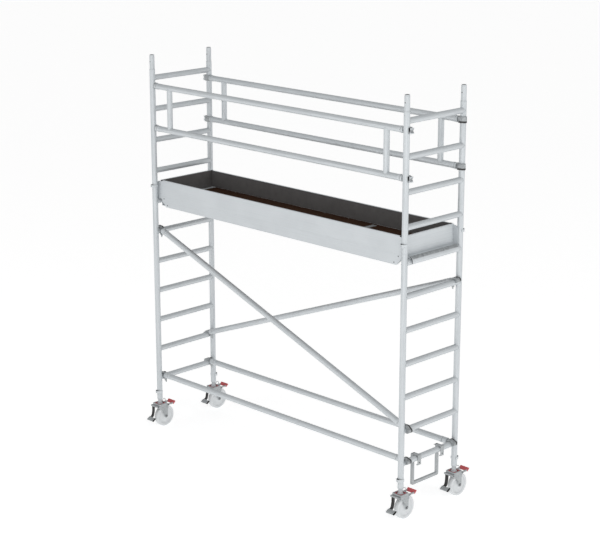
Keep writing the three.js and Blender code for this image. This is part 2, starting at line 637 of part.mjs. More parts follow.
// The +X end profile: a hook over the rung with the deck's end beam behind it.
function platformHook() {
  const lipEnd = -THREE.MathUtils.degToRad(HOOK_LIP_ANGLE);
  const innerR = hookR - HOOK_LIP_T;
  const seatZ = rungR + HOOK_SEAT_GAP;
  const seatAngle = Math.asin(seatZ / innerR);
  const webOuter = -rungR - HOOK_WEB_SET;
  const shape = new THREE.Shape();
  shape.moveTo(-HOOK_PLATE_LENGTH, hookR);
  shape.lineTo(0, hookR);
  shape.absarc(0, 0, hookR, Math.PI / 2, lipEnd, true);
  shape.absarc(0, 0, innerR, lipEnd, seatAngle, false);
  shape.lineTo(webOuter, seatZ);
  shape.lineTo(webOuter, hookR - HOOK_DEPTH);
  shape.lineTo(-HOOK_PLATE_LENGTH, hookR - HOOK_DEPTH);
  shape.lineTo(-HOOK_PLATE_LENGTH, hookR - HOOK_DEPTH + BEAM_WALL);
  shape.lineTo(webOuter - HOOK_WEB, hookR - HOOK_DEPTH + BEAM_WALL);
  shape.lineTo(webOuter - HOOK_WEB, hookR - HOOK_WEB);
  shape.lineTo(-HOOK_PLATE_LENGTH, hookR - HOOK_WEB);
  const hookHalf = ledgeInnerY - GAP;
  return alongY(shape, -hookHalf, hookHalf, 6);
}

function deckBoard(x0, x1, half = deckHalfWidth) {
  return block([x0, -half, deckBottom], [x1, half, deckTop]);
}

function crossMember() {
  const half = sideFaceY - BEAM_WALL - GAP;
  const top = deckBottom - GAP - BEAM_WALL - GAP;
  const bottom = top - CROSS_MEMBER_DEPTH;
  const x0 = hatchStart - DECK_JOINT_GAP - CROSS_MEMBER_WIDTH / 2;
  const x1 = x0 + CROSS_MEMBER_WIDTH;
  const wall = CROSS_MEMBER_WALL;
  return cut(
    block([x0, -half, bottom], [x1, half, top]),
    block([x0 + wall, -FRAME_WIDTH, bottom + wall], [x1 - wall, FRAME_WIDTH, top - wall]));
}

// A pull ring lying on the hatch, pivoted at its two free ends.
function pullRing() {
  const radius = RING_WIRE_D / 2;
  const z = deckTop + radius + RING_LIFT;
  const x0 = hatchEnd - RING_INSET;
  const x1 = x0 - RING_REACH;
  const half = RING_WIDTH / 2;
  return join(
    bar(radius, [x0, -half - radius, z], [x0, -half + RING_PIVOT_LENGTH, z], PIN_SIDES),
    bar(radius, [x0, half - RING_PIVOT_LENGTH, z], [x0, half + radius, z], PIN_SIDES),
    bar(radius, [x0, -half, z], [x1, -half, z], PIN_SIDES),
    bar(radius, [x0, half, z], [x1, half, z], PIN_SIDES),
    bar(radius, [x1, -half - radius, z], [x1, half + radius, z], PIN_SIDES));
}

// ---- Toe boards ----
function sideToeBoard() {
  const half = beamHalfLength - GAP;
  return block([-half, -sideFaceY, toeBottom], [half, -sideFaceY + TOE_T, toeTop]);
}

// The +X end board with the plate at each of its corners.
function endToeBoard() {
  const outer = halfBay - END_BOARD_INSET;
  const plateInnerY = sideFaceY - CORNER_PLATE_T;
  const pieces = [block([outer - TOE_T, -plateInnerY - 1, hookTop + GAP], [outer, plateInnerY + 1, toeTop])];
  const low = hookRungZ + rungR + 1;
  const high = toeTop - CORNER_PLATE_DROP;
  const plate = new THREE.Shape();
  plate.moveTo(beamHalfLength + GAP, low);
  plate.lineTo(halfBay, low);
  const [arcX, arcZ] = [halfBay - CORNER_PLATE_RADIUS, high - CORNER_PLATE_RADIUS];
  plate.lineTo(halfBay, arcZ);
  plate.absarc(arcX, arcZ, CORNER_PLATE_RADIUS, 0, Math.PI / 2, false);
  plate.lineTo(beamHalfLength + GAP, high);
  for (const side of [-1, 1]) {
    const ys = [side * plateInnerY, side * sideFaceY].sort((a, b) => a - b);
    pieces.push(alongY(plate, ys[0], ys[1], 5));
  }
  return join(...pieces);
}

// ---- Access stirrup ----
function accessStirrup() {
  const z = lowerRungZ(0);
  const inner = halfBay - rungR - SLIP;
  const top = z + rungR + GAP + STIRRUP_STRAP_T;
  const bottom = z - STIRRUP_DROP;
  const half = STIRRUP_WIDTH / 2;
  const pieces = [block([inner - STIRRUP_BAR_T, -half, bottom], [inner, half, bottom + STIRRUP_BAR])];
  for (const side of [-1, 1]) {
    const leg = [side * (half - STIRRUP_BAR), side * half].sort((a, b) => a - b);
    const strap = [side * (half - STIRRUP_STRAP_WIDTH - 1), side * (half - 1)].sort((a, b) => a - b);
    const plateX = halfBay + rungR + STIRRUP_RUNG_GAP;
    const plateOuter = plateX + STIRRUP_STRAP_T;
    const hangBottom = z - STIRRUP_PLATE_DROP;
    pieces.push(
      block([inner - STIRRUP_BAR_T, leg[0], bottom], [inner, leg[1], top - 1]),
      block([inner - STIRRUP_BAR_T, strap[0], top - STIRRUP_STRAP_T], [plateOuter, strap[1], top]),
      block([plateX, strap[0], hangBottom], [plateOuter, strap[1], top]),
      block([plateX - STIRRUP_LIP, strap[0] + STIRRUP_LIP_INSET, hangBottom],
        [plateOuter, strap[1] - STIRRUP_LIP_INSET, hangBottom + STIRRUP_STRAP_T]));
  }
  return join(...pieces);
}

// ---- Materials ----
const FINISHES = {
  aluminium: { color: 0xc8cdd0, roughness: 0.42, metalness: 0.85 },
  castAluminium: { color: 0x8d9193, roughness: 0.5, metalness: 0.8 },
  zincSteel: { color: 0xa4a8ab, roughness: 0.4, metalness: 0.85 },
  darkSteel: { color: 0x55585a, roughness: 0.5, metalness: 0.7 },
  toeBoard: { color: 0xb9bdc0, roughness: 0.5, metalness: 0.4 },
  deckPly: { color: 0x2b1d14, roughness: 0.75, metalness: 0 },
  wheelPlastic: { color: 0xaeb2b4, roughness: 0.55, metalness: 0 },
  redPlastic: { color: 0x8b1a1c, roughness: 0.5, metalness: 0 },
};

function part(name, solid, finish) {
  const geometry = solid.isBufferGeometry ? solid : toGeometry(solid);
  const mesh = new THREE.Mesh(geometry, new THREE.MeshStandardMaterial(FINISHES[finish]));
  mesh.name = name;
  return mesh;
}

function place(children, { at = [0, 0, 0], turnY = 0, turnZ = 0 } = {}) {
  const holder = new THREE.Group();
  holder.position.set(...at);
  holder.rotation.set(0, turnY, turnZ);
  holder.add(...children);
  return holder;
}

// ---- Assembly ----
const group = new THREE.Group();
const ENDS = [['left', -1], ['right', 1]];
const SIDES = [['front', -1], ['back', 1]];
const halfTurn = (side) => (side > 0 ? Math.PI : 0);

const lowerFrame = toGeometry(ladderFrame(LOWER_RUNGS));
const upperFrame = toGeometry(ladderFrame(UPPER_RUNGS));
for (const [end, x] of ENDS) {
  group.add(
    place([part(`lower_frame_${end}`, lowerFrame, 'aluminium')], { at: [x * halfBay, 0, frameFoot] }),
    place([part(`upper_frame_${end}`, upperFrame, 'aluminium')], { at: [x * halfBay, 0, upperFoot + GAP] }));
}

const clip = toGeometry(springClip());
const stems = { front: toGeometry(casterStem(-1)), back: toGeometry(casterStem(1)) };
const fork = toGeometry(casterFork());
const wheel = toGeometry(casterWheel());
const pedal = toGeometry(brakePedal());
const lever = toGeometry(releaseLever());
for (const [side, y] of SIDES) {
  for (const [end, x] of ENDS) {
    const corner = `${side}_${end}`;
    const at = [x * halfBay, y * halfWidth, 0];
    group.add(
      place([part(`frame_clip_${corner}`, clip, 'zincSteel')],
        { at: [at[0], at[1], upperFoot + CLIP_RISE + GAP / 2], turnZ: halfTurn(y) }),
      place([part(`caster_clip_${corner}`, clip, 'zincSteel')],
        { at: [at[0], at[1], frameFoot + CLIP_RISE], turnZ: halfTurn(y) }),
      place([
        part(`caster_${corner}_stem`, stems[side], 'zincSteel'),
        part(`caster_${corner}_fork`, fork, 'zincSteel'),
        part(`caster_${corner}_wheel`, wheel, 'wheelPlastic'),
        part(`caster_${corner}_brake_pedal`, pedal, 'darkSteel'),
        part(`caster_${corner}_release_lever`, lever, 'redPlastic'),
      ], { at }));
  }
}

const rail = toGeometry(guardrail());
const beam = toGeometry(platformBeam());
const sideBoard = toGeometry(sideToeBoard());
const latch = toGeometry(braceLatch());
const diagonalRise = lowerRungZ(DIAGONAL_HIGH_RUNG) - lowerRungZ(DIAGONAL_LOW_RUNG);
const braces = [
  { name: 'base_tube', span: BAY_LENGTH, z: lowerRungZ(0), tilt: 0 },
  {
    name: 'diagonal',
    span: Math.hypot(BAY_LENGTH, diagonalRise),
    z: lowerRungZ(DIAGONAL_LOW_RUNG) + diagonalRise / 2,
    tilt: Math.atan2(diagonalRise, BAY_LENGTH),
  },
];
for (const [side, y] of SIDES) {
  group.add(
    place([
      part(`guardrail_${side}`, rail, 'aluminium'),
      part(`platform_beam_${side}`, beam, 'aluminium'),
      part(`toe_board_${side}`, sideBoard, 'toeBoard'),
    ], { turnZ: halfTurn(y) }));
  for (const { name, span, z, tilt } of braces) {
    const latches = [['right', 0], ['left', Math.PI]].map(([local, turnZ]) => {
      const end = y < 0 ? local : { left: 'right', right: 'left' }[local];
      const offset = turnZ ? -span / 2 : span / 2;
      const lever = part(`${name}_${side}_latch_${end}`, latch, 'darkSteel');
      return place([lever], { at: [offset, 0, 0], turnZ });
    });
    const brace = place([part(`${name}_${side}`, toGeometry(braceTube(span)), 'aluminium'), ...latches],
      { at: [0, -braceY, z], turnY: tilt });
    group.add(place([brace], { turnZ: halfTurn(y) }));
  }
}

const hook = toGeometry(platformHook());
const endBoard = toGeometry(endToeBoard());
for (const [end, x] of ENDS) {
  group.add(
    place([part(`platform_hook_${end}`, hook, 'aluminium')],
      { at: [x * halfBay, 0, hookRungZ], turnZ: x < 0 ? Math.PI : 0 }),
    place([part(`toe_board_${end}`, endBoard, 'toeBoard')], { turnZ: x < 0 ? Math.PI : 0 }));
}

group.add(
  part('deck_panel_main', deckBoard(-deckHalfLength, hatchStart - DECK_JOINT_GAP), 'deckPly'),
  part('deck_hatch', deckBoard(hatchStart, hatchEnd, hatchHalfWidth), 'deckPly'),
  part('deck_panel_end', deckBoard(deckEndStart, deckHalfLength), 'deckPly'),
  part('deck_cross_member', crossMember(), 'aluminium'),
  part('hatch_pull_ring', pullRing(), 'zincSteel'),
  part('access_stirrup', accessStirrup(), 'castAluminium'));

export default group;
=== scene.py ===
"""Mobile tower scaffold: the finished look of every piece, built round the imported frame."""
import json
import logging
import math
from dataclasses import dataclass, field
from enum import Enum
from typing import Callable, Sequence

import bmesh
import bpy
from mathutils import Matrix, Vector

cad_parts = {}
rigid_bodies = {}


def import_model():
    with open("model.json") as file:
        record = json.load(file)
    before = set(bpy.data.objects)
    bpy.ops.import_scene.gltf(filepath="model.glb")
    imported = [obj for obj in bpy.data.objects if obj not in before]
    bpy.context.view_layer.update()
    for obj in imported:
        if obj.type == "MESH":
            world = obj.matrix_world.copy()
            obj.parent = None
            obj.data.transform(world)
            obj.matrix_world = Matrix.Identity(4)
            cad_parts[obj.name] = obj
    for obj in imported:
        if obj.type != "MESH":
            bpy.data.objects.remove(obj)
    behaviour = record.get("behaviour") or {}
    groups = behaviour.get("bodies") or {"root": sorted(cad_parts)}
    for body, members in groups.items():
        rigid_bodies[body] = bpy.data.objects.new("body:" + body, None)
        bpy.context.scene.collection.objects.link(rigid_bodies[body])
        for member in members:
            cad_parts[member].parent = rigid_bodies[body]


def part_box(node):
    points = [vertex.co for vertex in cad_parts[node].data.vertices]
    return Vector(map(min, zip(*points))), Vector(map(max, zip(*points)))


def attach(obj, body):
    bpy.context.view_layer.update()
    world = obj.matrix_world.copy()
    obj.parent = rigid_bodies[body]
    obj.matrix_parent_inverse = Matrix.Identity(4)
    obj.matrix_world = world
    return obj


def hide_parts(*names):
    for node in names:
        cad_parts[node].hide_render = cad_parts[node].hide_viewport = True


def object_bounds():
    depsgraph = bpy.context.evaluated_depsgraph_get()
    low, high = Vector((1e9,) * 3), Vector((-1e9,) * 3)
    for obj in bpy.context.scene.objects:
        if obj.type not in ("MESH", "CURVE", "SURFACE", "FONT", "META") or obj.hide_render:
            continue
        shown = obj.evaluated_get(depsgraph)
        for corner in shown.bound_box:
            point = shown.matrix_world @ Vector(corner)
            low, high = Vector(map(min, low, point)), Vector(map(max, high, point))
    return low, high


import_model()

CAD_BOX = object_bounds()
LOG = logging.getLogger("tower")

Point = tuple[float, float]
Line = tuple[Vector, Vector]
Colour = tuple[float, float, float]
TAU = 2 * math.pi
MM = 0.001
CENTRE: Point = (0.0, 0.0)
ORIGIN, X, Y, Z = (0, 0, 0), (1, 0, 0), (0, 1, 0), (0, 0, 1)
UP = Vector(Z)
ENDS = {"left": -1, "right": 1}
SIDES = {"front": -1, "back": 1}
TOWER = "tower"


# ---- Node graphs ----
def operator(operation: str, swapped: bool = False) -> Callable[..., "Sock"]:
    """Make a method that adds a Math node.

    Args:
        operation: The node's operation.
        swapped: True if the other value comes first.

    Returns:
        The method.
    """
    def method(self: "Sock", *others: object) -> "Sock":
        """The node's result."""
        values = (*others, self) if swapped else (self, *others)
        return self.graph.node("ShaderNodeMath", {"operation": operation}, dict(enumerate(values)))

    return method


class Sock:
    """A node's output socket that can stand in a Python expression."""

    __add__, __radd__ = operator("ADD"), operator("ADD", True)
    __sub__, __rsub__ = operator("SUBTRACT"), operator("SUBTRACT", True)
    __mul__, __rmul__ = operator("MULTIPLY"), operator("MULTIPLY", True)
    __truediv__, __gt__ = operator("DIVIDE"), operator("GREATER_THAN")
    sin, root = operator("SINE"), operator("SQRT")

    def __init__(self, graph: "Graph", socket: bpy.types.NodeSocket) -> None:
        """Keep the socket and the graph it belongs to."""
        self.graph = graph
        self.socket = socket

    def ramp(self, low: float, high: float) -> "Sock":
        """A smooth step from 0 at low to 1 at high."""
        settings = {"interpolation_type": "SMOOTHSTEP"}
        return self.graph.node(
            "ShaderNodeMapRange", settings, {"Value": self, "From Min": low, "From Max": high}
        )


class Graph:
    """A node tree under construction."""

    def __init__(self, tree: bpy.types.NodeTree) -> None:
        """Keep the tree."""
        self.tree = tree

    def node(
        self,
        kind: str,
        settings: dict[str, object] | None = None,
        inputs: dict[object, object] | None = None,
        out: object = 0,
    ) -> Sock:
        """Add a node.

        Args:
            kind: The node's type.
            settings: Its properties, set first.
            inputs: Values or links for its sockets, by name or index.
            out: The output that is returned, by name or index.

        Returns:
            That output as a Sock.
        """
        node = self.tree.nodes.new(kind)
        for key, value in (settings or {}).items():
            setattr(node, key, value)
        for key, value in (inputs or {}).items():
            if isinstance(value, Sock):
                self.tree.links.new(value.socket, node.inputs[key])
            else:
                node.inputs[key].default_value = value
        return Sock(self, node.outputs[out]) if len(node.outputs) else Sock(self, None)

    def parts(self, vector: Sock) -> tuple[Sock, Sock, Sock]:
        """The three components of a vector."""
        split = self.node("ShaderNodeSeparateXYZ", None, {0: vector})
        return tuple(Sock(self, socket) for socket in split.socket.node.outputs)

    def joined(self, x: object, y: object, z: object) -> Sock:
        """A vector of three components."""
        return self.node("ShaderNodeCombineXYZ", None, {0: x, 1: y, 2: z})

    def mix(self, factor: object, first: object, second: object) -> Sock:
        """A colour between two others."""
        colours = [c if isinstance(c, Sock) else (*c, 1.0) for c in (first, second)]
        settings = {"data_type": "RGBA"}
        return self.node("ShaderNodeMix", settings, {0: factor, 6: colours[0], 7: colours[1]}, 2)

    def noise(self, vector: Sock, scale: float, detail: float) -> Sock:
        """Smooth noise from 0 to 1."""
        return self.node("ShaderNodeTexNoise", None, {"Vector": vector, "Scale": scale, "Detail": detail})

    def speckle(self, scale: float, detail: float) -> Sock:
        """Smooth noise over the piece."""
        return self.noise(self.place(), scale, detail)

    def streaks(self, factors: tuple[float, float, float], detail: float) -> Sock:
        """Noise over the piece, stretched by axis."""
        point = self.node("ShaderNodeVectorMath", {"operation": "MULTIPLY"}, {0: self.place(), 1: factors})
        return self.noise(point, 1.0, detail)

    def place(self) -> Sock:
        """The point on the piece, in metres."""
        return self.node("ShaderNodeTexCoord", None, None, "Object")


# ---- Finishes ----
@dataclass(frozen=True)
class Finish:
    """A surface finish: plain numbers here, its pattern in surface()."""

    name: str
    colour: Colour
    dark: Colour
    roughness: float
    metallic: float = 0.0
    bump: float = 0.25
    depth: float = 0.0004
    specular: float = 0.5
    glow: float = 0.0

    def surface(self, g: Graph) -> tuple[Sock, object, Sock]:
        """Draw the pattern.

        Args:
            g: The material's graph.

        Returns:
            Colour, roughness and bump height.
        """
        grain = g.speckle(900.0, 3.0)
        cloud = g.speckle(14.0, 4.0)
        colour = g.mix((cloud * 0.7 + grain * 0.3).ramp(0.35, 0.8), self.colour, self.dark)
        return colour, self.roughness + (cloud - 0.5) * 0.16, grain * 0.7 + cloud * 0.3

    def material(self) -> bpy.types.Material:
        """The finish as a material, made once."""
        found = bpy.data.materials.get(self.name)
        if found:
            return found
        made = bpy.data.materials.new(self.name)
        made.use_nodes = True
        made.node_tree.nodes.clear()
        made.diffuse_color = (*self.colour, 1.0)
        g = Graph(made.node_tree)
        colour, roughness, height = self.surface(g)
        bump = {"Strength": self.bump, "Distance": self.depth, "Height": height}
        normal = g.node("ShaderNodeBump", None, bump)
        shader = g.node("ShaderNodeBsdfPrincipled", None, {
            "Base Color": colour,
            "Roughness": roughness,
            "Metallic": self.metallic,
            "Specular IOR Level": self.specular,
            "Emission Color": (*self.colour, 1.0),
            "Emission Strength": self.glow,
            "Normal": normal,
        })
        g.node("ShaderNodeOutputMaterial", None, {"Surface": shader})
        return made


@dataclass(frozen=True)
class DrawnTube(Finish):
    """Drawn aluminium tube: streaks run along each tube, with a few handling marks."""

    streaks: float = 160.0

    def surface(self, g: Graph) -> tuple[Sock, object, Sock]:
        """Streaks that follow the tube's own section and length."""
        section = g.node("ShaderNodeAttribute", {"attribute_name": "section"}, None, "Vector")
        along = g.node("ShaderNodeAttribute", {"attribute_name": "along"}, None, "Fac")
        x, y, _ = g.parts(section)
        line = g.joined(x, y, along * 0.012)
        streak = g.noise(line, self.streaks, 3.0)
        fine = g.noise(line, self.streaks * 6, 1.0)
        cloud = g.speckle(5.0, 3.0)
        scuff = g.streaks((60.0, 60.0, 220.0), 5.0).ramp(0.66, 0.74)
        shade = (streak * 0.55 + fine * 0.2 + cloud * 0.25).ramp(0.38, 0.72)
        colour = g.mix(scuff * 0.35, g.mix(shade, self.colour, self.dark), self.dark)
        roughness = self.roughness + (streak - 0.5) * 0.2 + scuff * 0.12
        return colour, roughness, streak * 0.6 + fine * 0.3 - scuff * 0.2


@dataclass(frozen=True)
class Extruded(Finish):
    """Extruded or rolled aluminium, with die lines along one axis."""

    lines: tuple[float, float, float] = (1.5, 260.0, 260.0)

    def surface(self, g: Graph) -> tuple[Sock, object, Sock]:
        """Die lines, soft clouds and scattered scratches."""
        line = g.streaks(self.lines, 3.0)
        cloud = g.speckle(3.2, 4.0)
        scratch = g.streaks((90.0, 90.0, 12.0), 6.0).ramp(0.68, 0.73)
        shade = (line * 0.45 + cloud * 0.55).ramp(0.36, 0.7)
        colour = g.mix(scratch * 0.3, g.mix(shade, self.colour, self.dark), self.dark)
        roughness = self.roughness + (line - 0.5) * 0.16 + scratch * 0.15
        return colour, roughness, line * 0.6 - scratch * 0.4


@dataclass(frozen=True)
class Cast(Finish):
    """Cast metal: sandy skin with darker hollows."""

    def surface(self, g: Graph) -> tuple[Sock, object, Sock]:
        """Sandy grain over broad patches."""
        sand = g.speckle(1400.0, 4.0)
        patch = g.speckle(45.0, 4.0)
        cells = {"Vector": g.place(), "Scale": 700.0}
        pits = g.node("ShaderNodeTexVoronoi", None, cells, "Distance").ramp(0.12, 0.34)
        colour = g.mix((patch * 0.7 + sand * 0.3).ramp(0.34, 0.72), self.colour, self.dark)
        return colour, self.roughness + (patch - 0.5) * 0.25, sand * 0.5 + pits * 0.3 + patch * 0.2


@dataclass(frozen=True)
class Plated(Finish):
    """Zinc-plated steel with a faint spangle."""

    def surface(self, g: Graph) -> tuple[Sock, object, Sock]:
        """Spangle cells, rolling marks and dull patches."""
        cells = {"Vector": g.place(), "Scale": 160.0}
        spangle = g.node("ShaderNodeTexVoronoi", None, cells, "Color")
        tone = g.parts(spangle)[0]
        roll = g.streaks((400.0, 60.0, 60.0), 2.0)
        dull = g.speckle(30.0, 4.0)
        shade = (tone * 0.3 + roll * 0.25 + dull * 0.45).ramp(0.3, 0.75)
        colour = g.mix(shade, self.colour, self.dark)
        return colour, self.roughness + (tone - 0.5) * 0.1 + (dull - 0.5) * 0.2, roll * 0.7 + dull * 0.3


@dataclass(frozen=True)
class Coated(Finish):
    """Dark or grey coating that is worn through in small chips."""

    bare: Colour = (0.3, 0.31, 0.32)
    wear: float = 0.66

    def surface(self, g: Graph) -> tuple[Sock, object, Sock]:
        """Fine orange peel, and chips down to the metal."""
        peel = g.speckle(600.0, 2.0)
        cloud = g.speckle(22.0, 5.0)
        chips = (g.speckle(95.0, 6.0) * 0.75 + cloud * 0.25).ramp(self.wear, self.wear + 0.05)
        coat = g.mix((cloud * 0.6 + peel * 0.4).ramp(0.35, 0.75), self.colour, self.dark)
        colour = g.mix(chips, coat, self.bare)
        return colour, self.roughness - chips * 0.15 + (peel - 0.5) * 0.12, peel * 0.5 - chips * 0.5


@dataclass(frozen=True)
class Moulded(Finish):
    """Moulded plastic with flow marks and light scuffing."""

    scuffs: Colour = (0.55, 0.56, 0.56)
    scuffing: float = 0.25

    def surface(self, g: Graph) -> tuple[Sock, object, Sock]:
        """Eroded mould texture, flow clouds and scuffs."""
        spark = g.speckle(1800.0, 2.0)
        flow = g.node("ShaderNodeTexNoise", None, {
            "Vector": g.place(), "Scale": 26.0, "Detail": 4.0, "Distortion": 1.2,
        })
        scuff = g.streaks((140.0, 35.0, 35.0), 5.0).ramp(0.6, 0.7)
        colour = g.mix(flow.ramp(0.3, 0.75), self.colour, self.dark)
        colour = g.mix(scuff * self.scuffing, colour, self.scuffs)
        return colour, self.roughness + (flow - 0.5) * 0.14 + scuff * 0.1, spark * 0.7 + flow * 0.3


@dataclass(frozen=True)
class FilmPly(Finish):
    """Film-faced birch ply: a printed anti-slip mesh above, thin plies at the edges."""

    top: float = 1.0
    thickness: float = 0.012
    plies: int = 9
    edge: Colour = (0.19, 0.115, 0.055)
    mesh_pitch: float = 0.0042
    dust: Colour = (0.11, 0.085, 0.065)

    def surface(self, g: Graph) -> tuple[Sock, object, Sock]:
        """The printed mesh, dust from boots, and plies between the two films."""
        x, y, z = g.parts(g.place())
        step = TAU / self.mesh_pitch
        weave = ((x + y) * step).sin() * ((x - y) * step).sin()
        print_height = weave.ramp(0.2, 0.8)
        cloud = g.speckle(4.0, 5.0)
        grain = g.streaks((6.0, 120.0, 120.0), 4.0)
        dust = (g.speckle(9.0, 8.0) * 0.7 + grain * 0.3).ramp(0.5, 0.78)
        film = g.mix((grain * 0.5 + cloud * 0.5).ramp(0.3, 0.75), self.colour, self.dark)
        film = g.mix(dust * 0.45, film, self.dust)
        ply = ((z - self.top) * (TAU * self.plies / 2 / self.thickness)).sin().ramp(-0.3, 0.3)
        below = (self.top - z) > 0.0006
        above = (z - self.top + self.thickness) > 0.0006
        layers = g.mix(ply, self.edge, tuple(0.45 * c for c in self.edge))
        colour = g.mix(below * above, film, layers)
        return colour, self.roughness + (cloud - 0.5) * 0.2 - print_height * 0.08, print_height


class Metal(Enum):
    """The finishes, one for each kind of surface on the tower."""

    TUBE = DrawnTube("drawn_aluminium", (0.60, 0.63, 0.65), (0.49, 0.52, 0.54), 0.45, 0.35)
    PROFILE_X = Extruded("profile_along_x", (0.59, 0.62, 0.64), (0.53, 0.56, 0.58), 0.5, 0.3)
    PROFILE_Y = Extruded(
        "profile_along_y", (0.63, 0.66, 0.68), (0.54, 0.57, 0.59), 0.48, 0.3,
        lines=(260.0, 1.5, 260.0),
    )
    CAST = Cast("cast_aluminium", (0.40, 0.42, 0.43), (0.24, 0.255, 0.265), 0.5, 0.4)
    ZINC = Plated("zinc_plated_steel", (0.45, 0.47, 0.48), (0.32, 0.34, 0.35), 0.4, 0.4)
    DARK = Coated("dark_coated_steel", (0.042, 0.041, 0.041), (0.022, 0.021, 0.021), 0.5, 0.2)
    GREY = Coated(
        "grey_powder_coat", (0.44, 0.46, 0.47), (0.34, 0.36, 0.37), 0.5, 0.15, wear=0.74
    )
    NYLON = Moulded("wheel_nylon", (0.235, 0.247, 0.254), (0.165, 0.175, 0.182), 0.55, specular=0.3)
    RED = Moulded(
        "red_plastic", (0.20, 0.009, 0.009), (0.15, 0.007, 0.007), 0.6, specular=0.02,
        scuffs=(0.25, 0.02, 0.02), scuffing=0.15,
    )
    BLACK = Moulded(
        "black_rubber", (0.012, 0.011, 0.010), (0.006, 0.006, 0.006), 0.6, specular=0.25,
        scuffs=(0.04, 0.04, 0.04),
    )
    FILM = Coated(
        "dark_board_film", (0.135, 0.129, 0.127), (0.110, 0.105, 0.103), 0.65, specular=0.2,
        bare=(0.17, 0.163, 0.16), wear=0.7,
    )
    PLY = FilmPly(
        "deck_film_ply", (0.050, 0.022, 0.011), (0.036, 0.016, 0.008), 0.75, 0.0,
        0.35, 0.0005, 0.08, top=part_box("deck_panel_main")[1].z, dust=(0.075, 0.042, 0.026),
    )
    FLOOR = Finish("studio_floor", (0.90, 0.90, 0.90), (0.88, 0.88, 0.88), 0.9, 0.0, 0.05, glow=0.5)

    def make(self) -> bpy.types.Material:
        """The finish's material."""
        return self.value.material()


# ---- Outlines ----
def arc(centre: Point, radius: float, start: float, end: float, steps: int = 12) -> list[Point]:
    """Points on an arc.

    Args:
        centre: Its middle.
        radius: Its radius.
        start: First angle in degrees.
        end: Last angle in degrees.
        steps: How many chords it has.

    Returns:
        The points from start to end.
    """
    angles = [math.radians(start + (end - start) * i / steps) for i in range(steps + 1)]
    return [(centre[0] + radius * math.cos(a), centre[1] + radius * math.sin(a)) for a in angles]


def rounded(points: Sequence[Point], radius: float, steps: int = 4) -> list[Point]:
    """A polygon with its corners rounded.

    Args:
        points: Its corners in order.
        radius: The distance from each corner at which its rounding starts, at most.
        steps: How many chords each rounding has.

    Returns:
        The rounded outline.
    """
    made = []
    count = len(points)
    for index, corner in enumerate(points):
        here = Vector(corner)
        before = Vector(points[index - 1]) - here
        after = Vector(points[(index + 1) % count]) - here
        reach = min(radius, before.length * 0.45, after.length * 0.45)
        first = here + before.normalized() * reach
        last = here + after.normalized() * reach
        for step in range(steps + 1):
            t = step / steps
            spot = first * (1 - t) ** 2 + here * (2 * t * (1 - t)) + last * t ** 2
            made.append((spot.x, spot.y))
    return made


def near(base: Point, *steps: Point) -> list[Point]:
    """Points at steps in millimetres from a base in metres."""
    return [(base[0] + MM * x, base[1] + MM * y) for x, y in steps]


def rectangle(low: Point, high: Point) -> list[Point]:
    """The four corners of a rectangle."""
    return [low, (high[0], low[1]), high, (low[0], high[1])]


def axes(origin: Sequence[float], along: Sequence[float], across: Sequence[float]) -> Matrix:
    """A place whose X is along, Y is across and Z their cross product."""
    x, y = Vector(along).normalized(), Vector(across).normalized()
    place = Matrix((x, y, x.cross(y))).transposed().to_4x4()
    place.translation = Vector(origin)
    return place


def quarter_turn(axis: str) -> Matrix:
    """A quarter turn about an axis."""
    return Matrix.Rotation(math.pi / 2, 4, axis)


def half_turn(side: int) -> Matrix:
    """No turn for the front side, half a turn about Z for the back."""
    return Matrix.Rotation(math.pi if side > 0 else 0.0, 4, "Z")


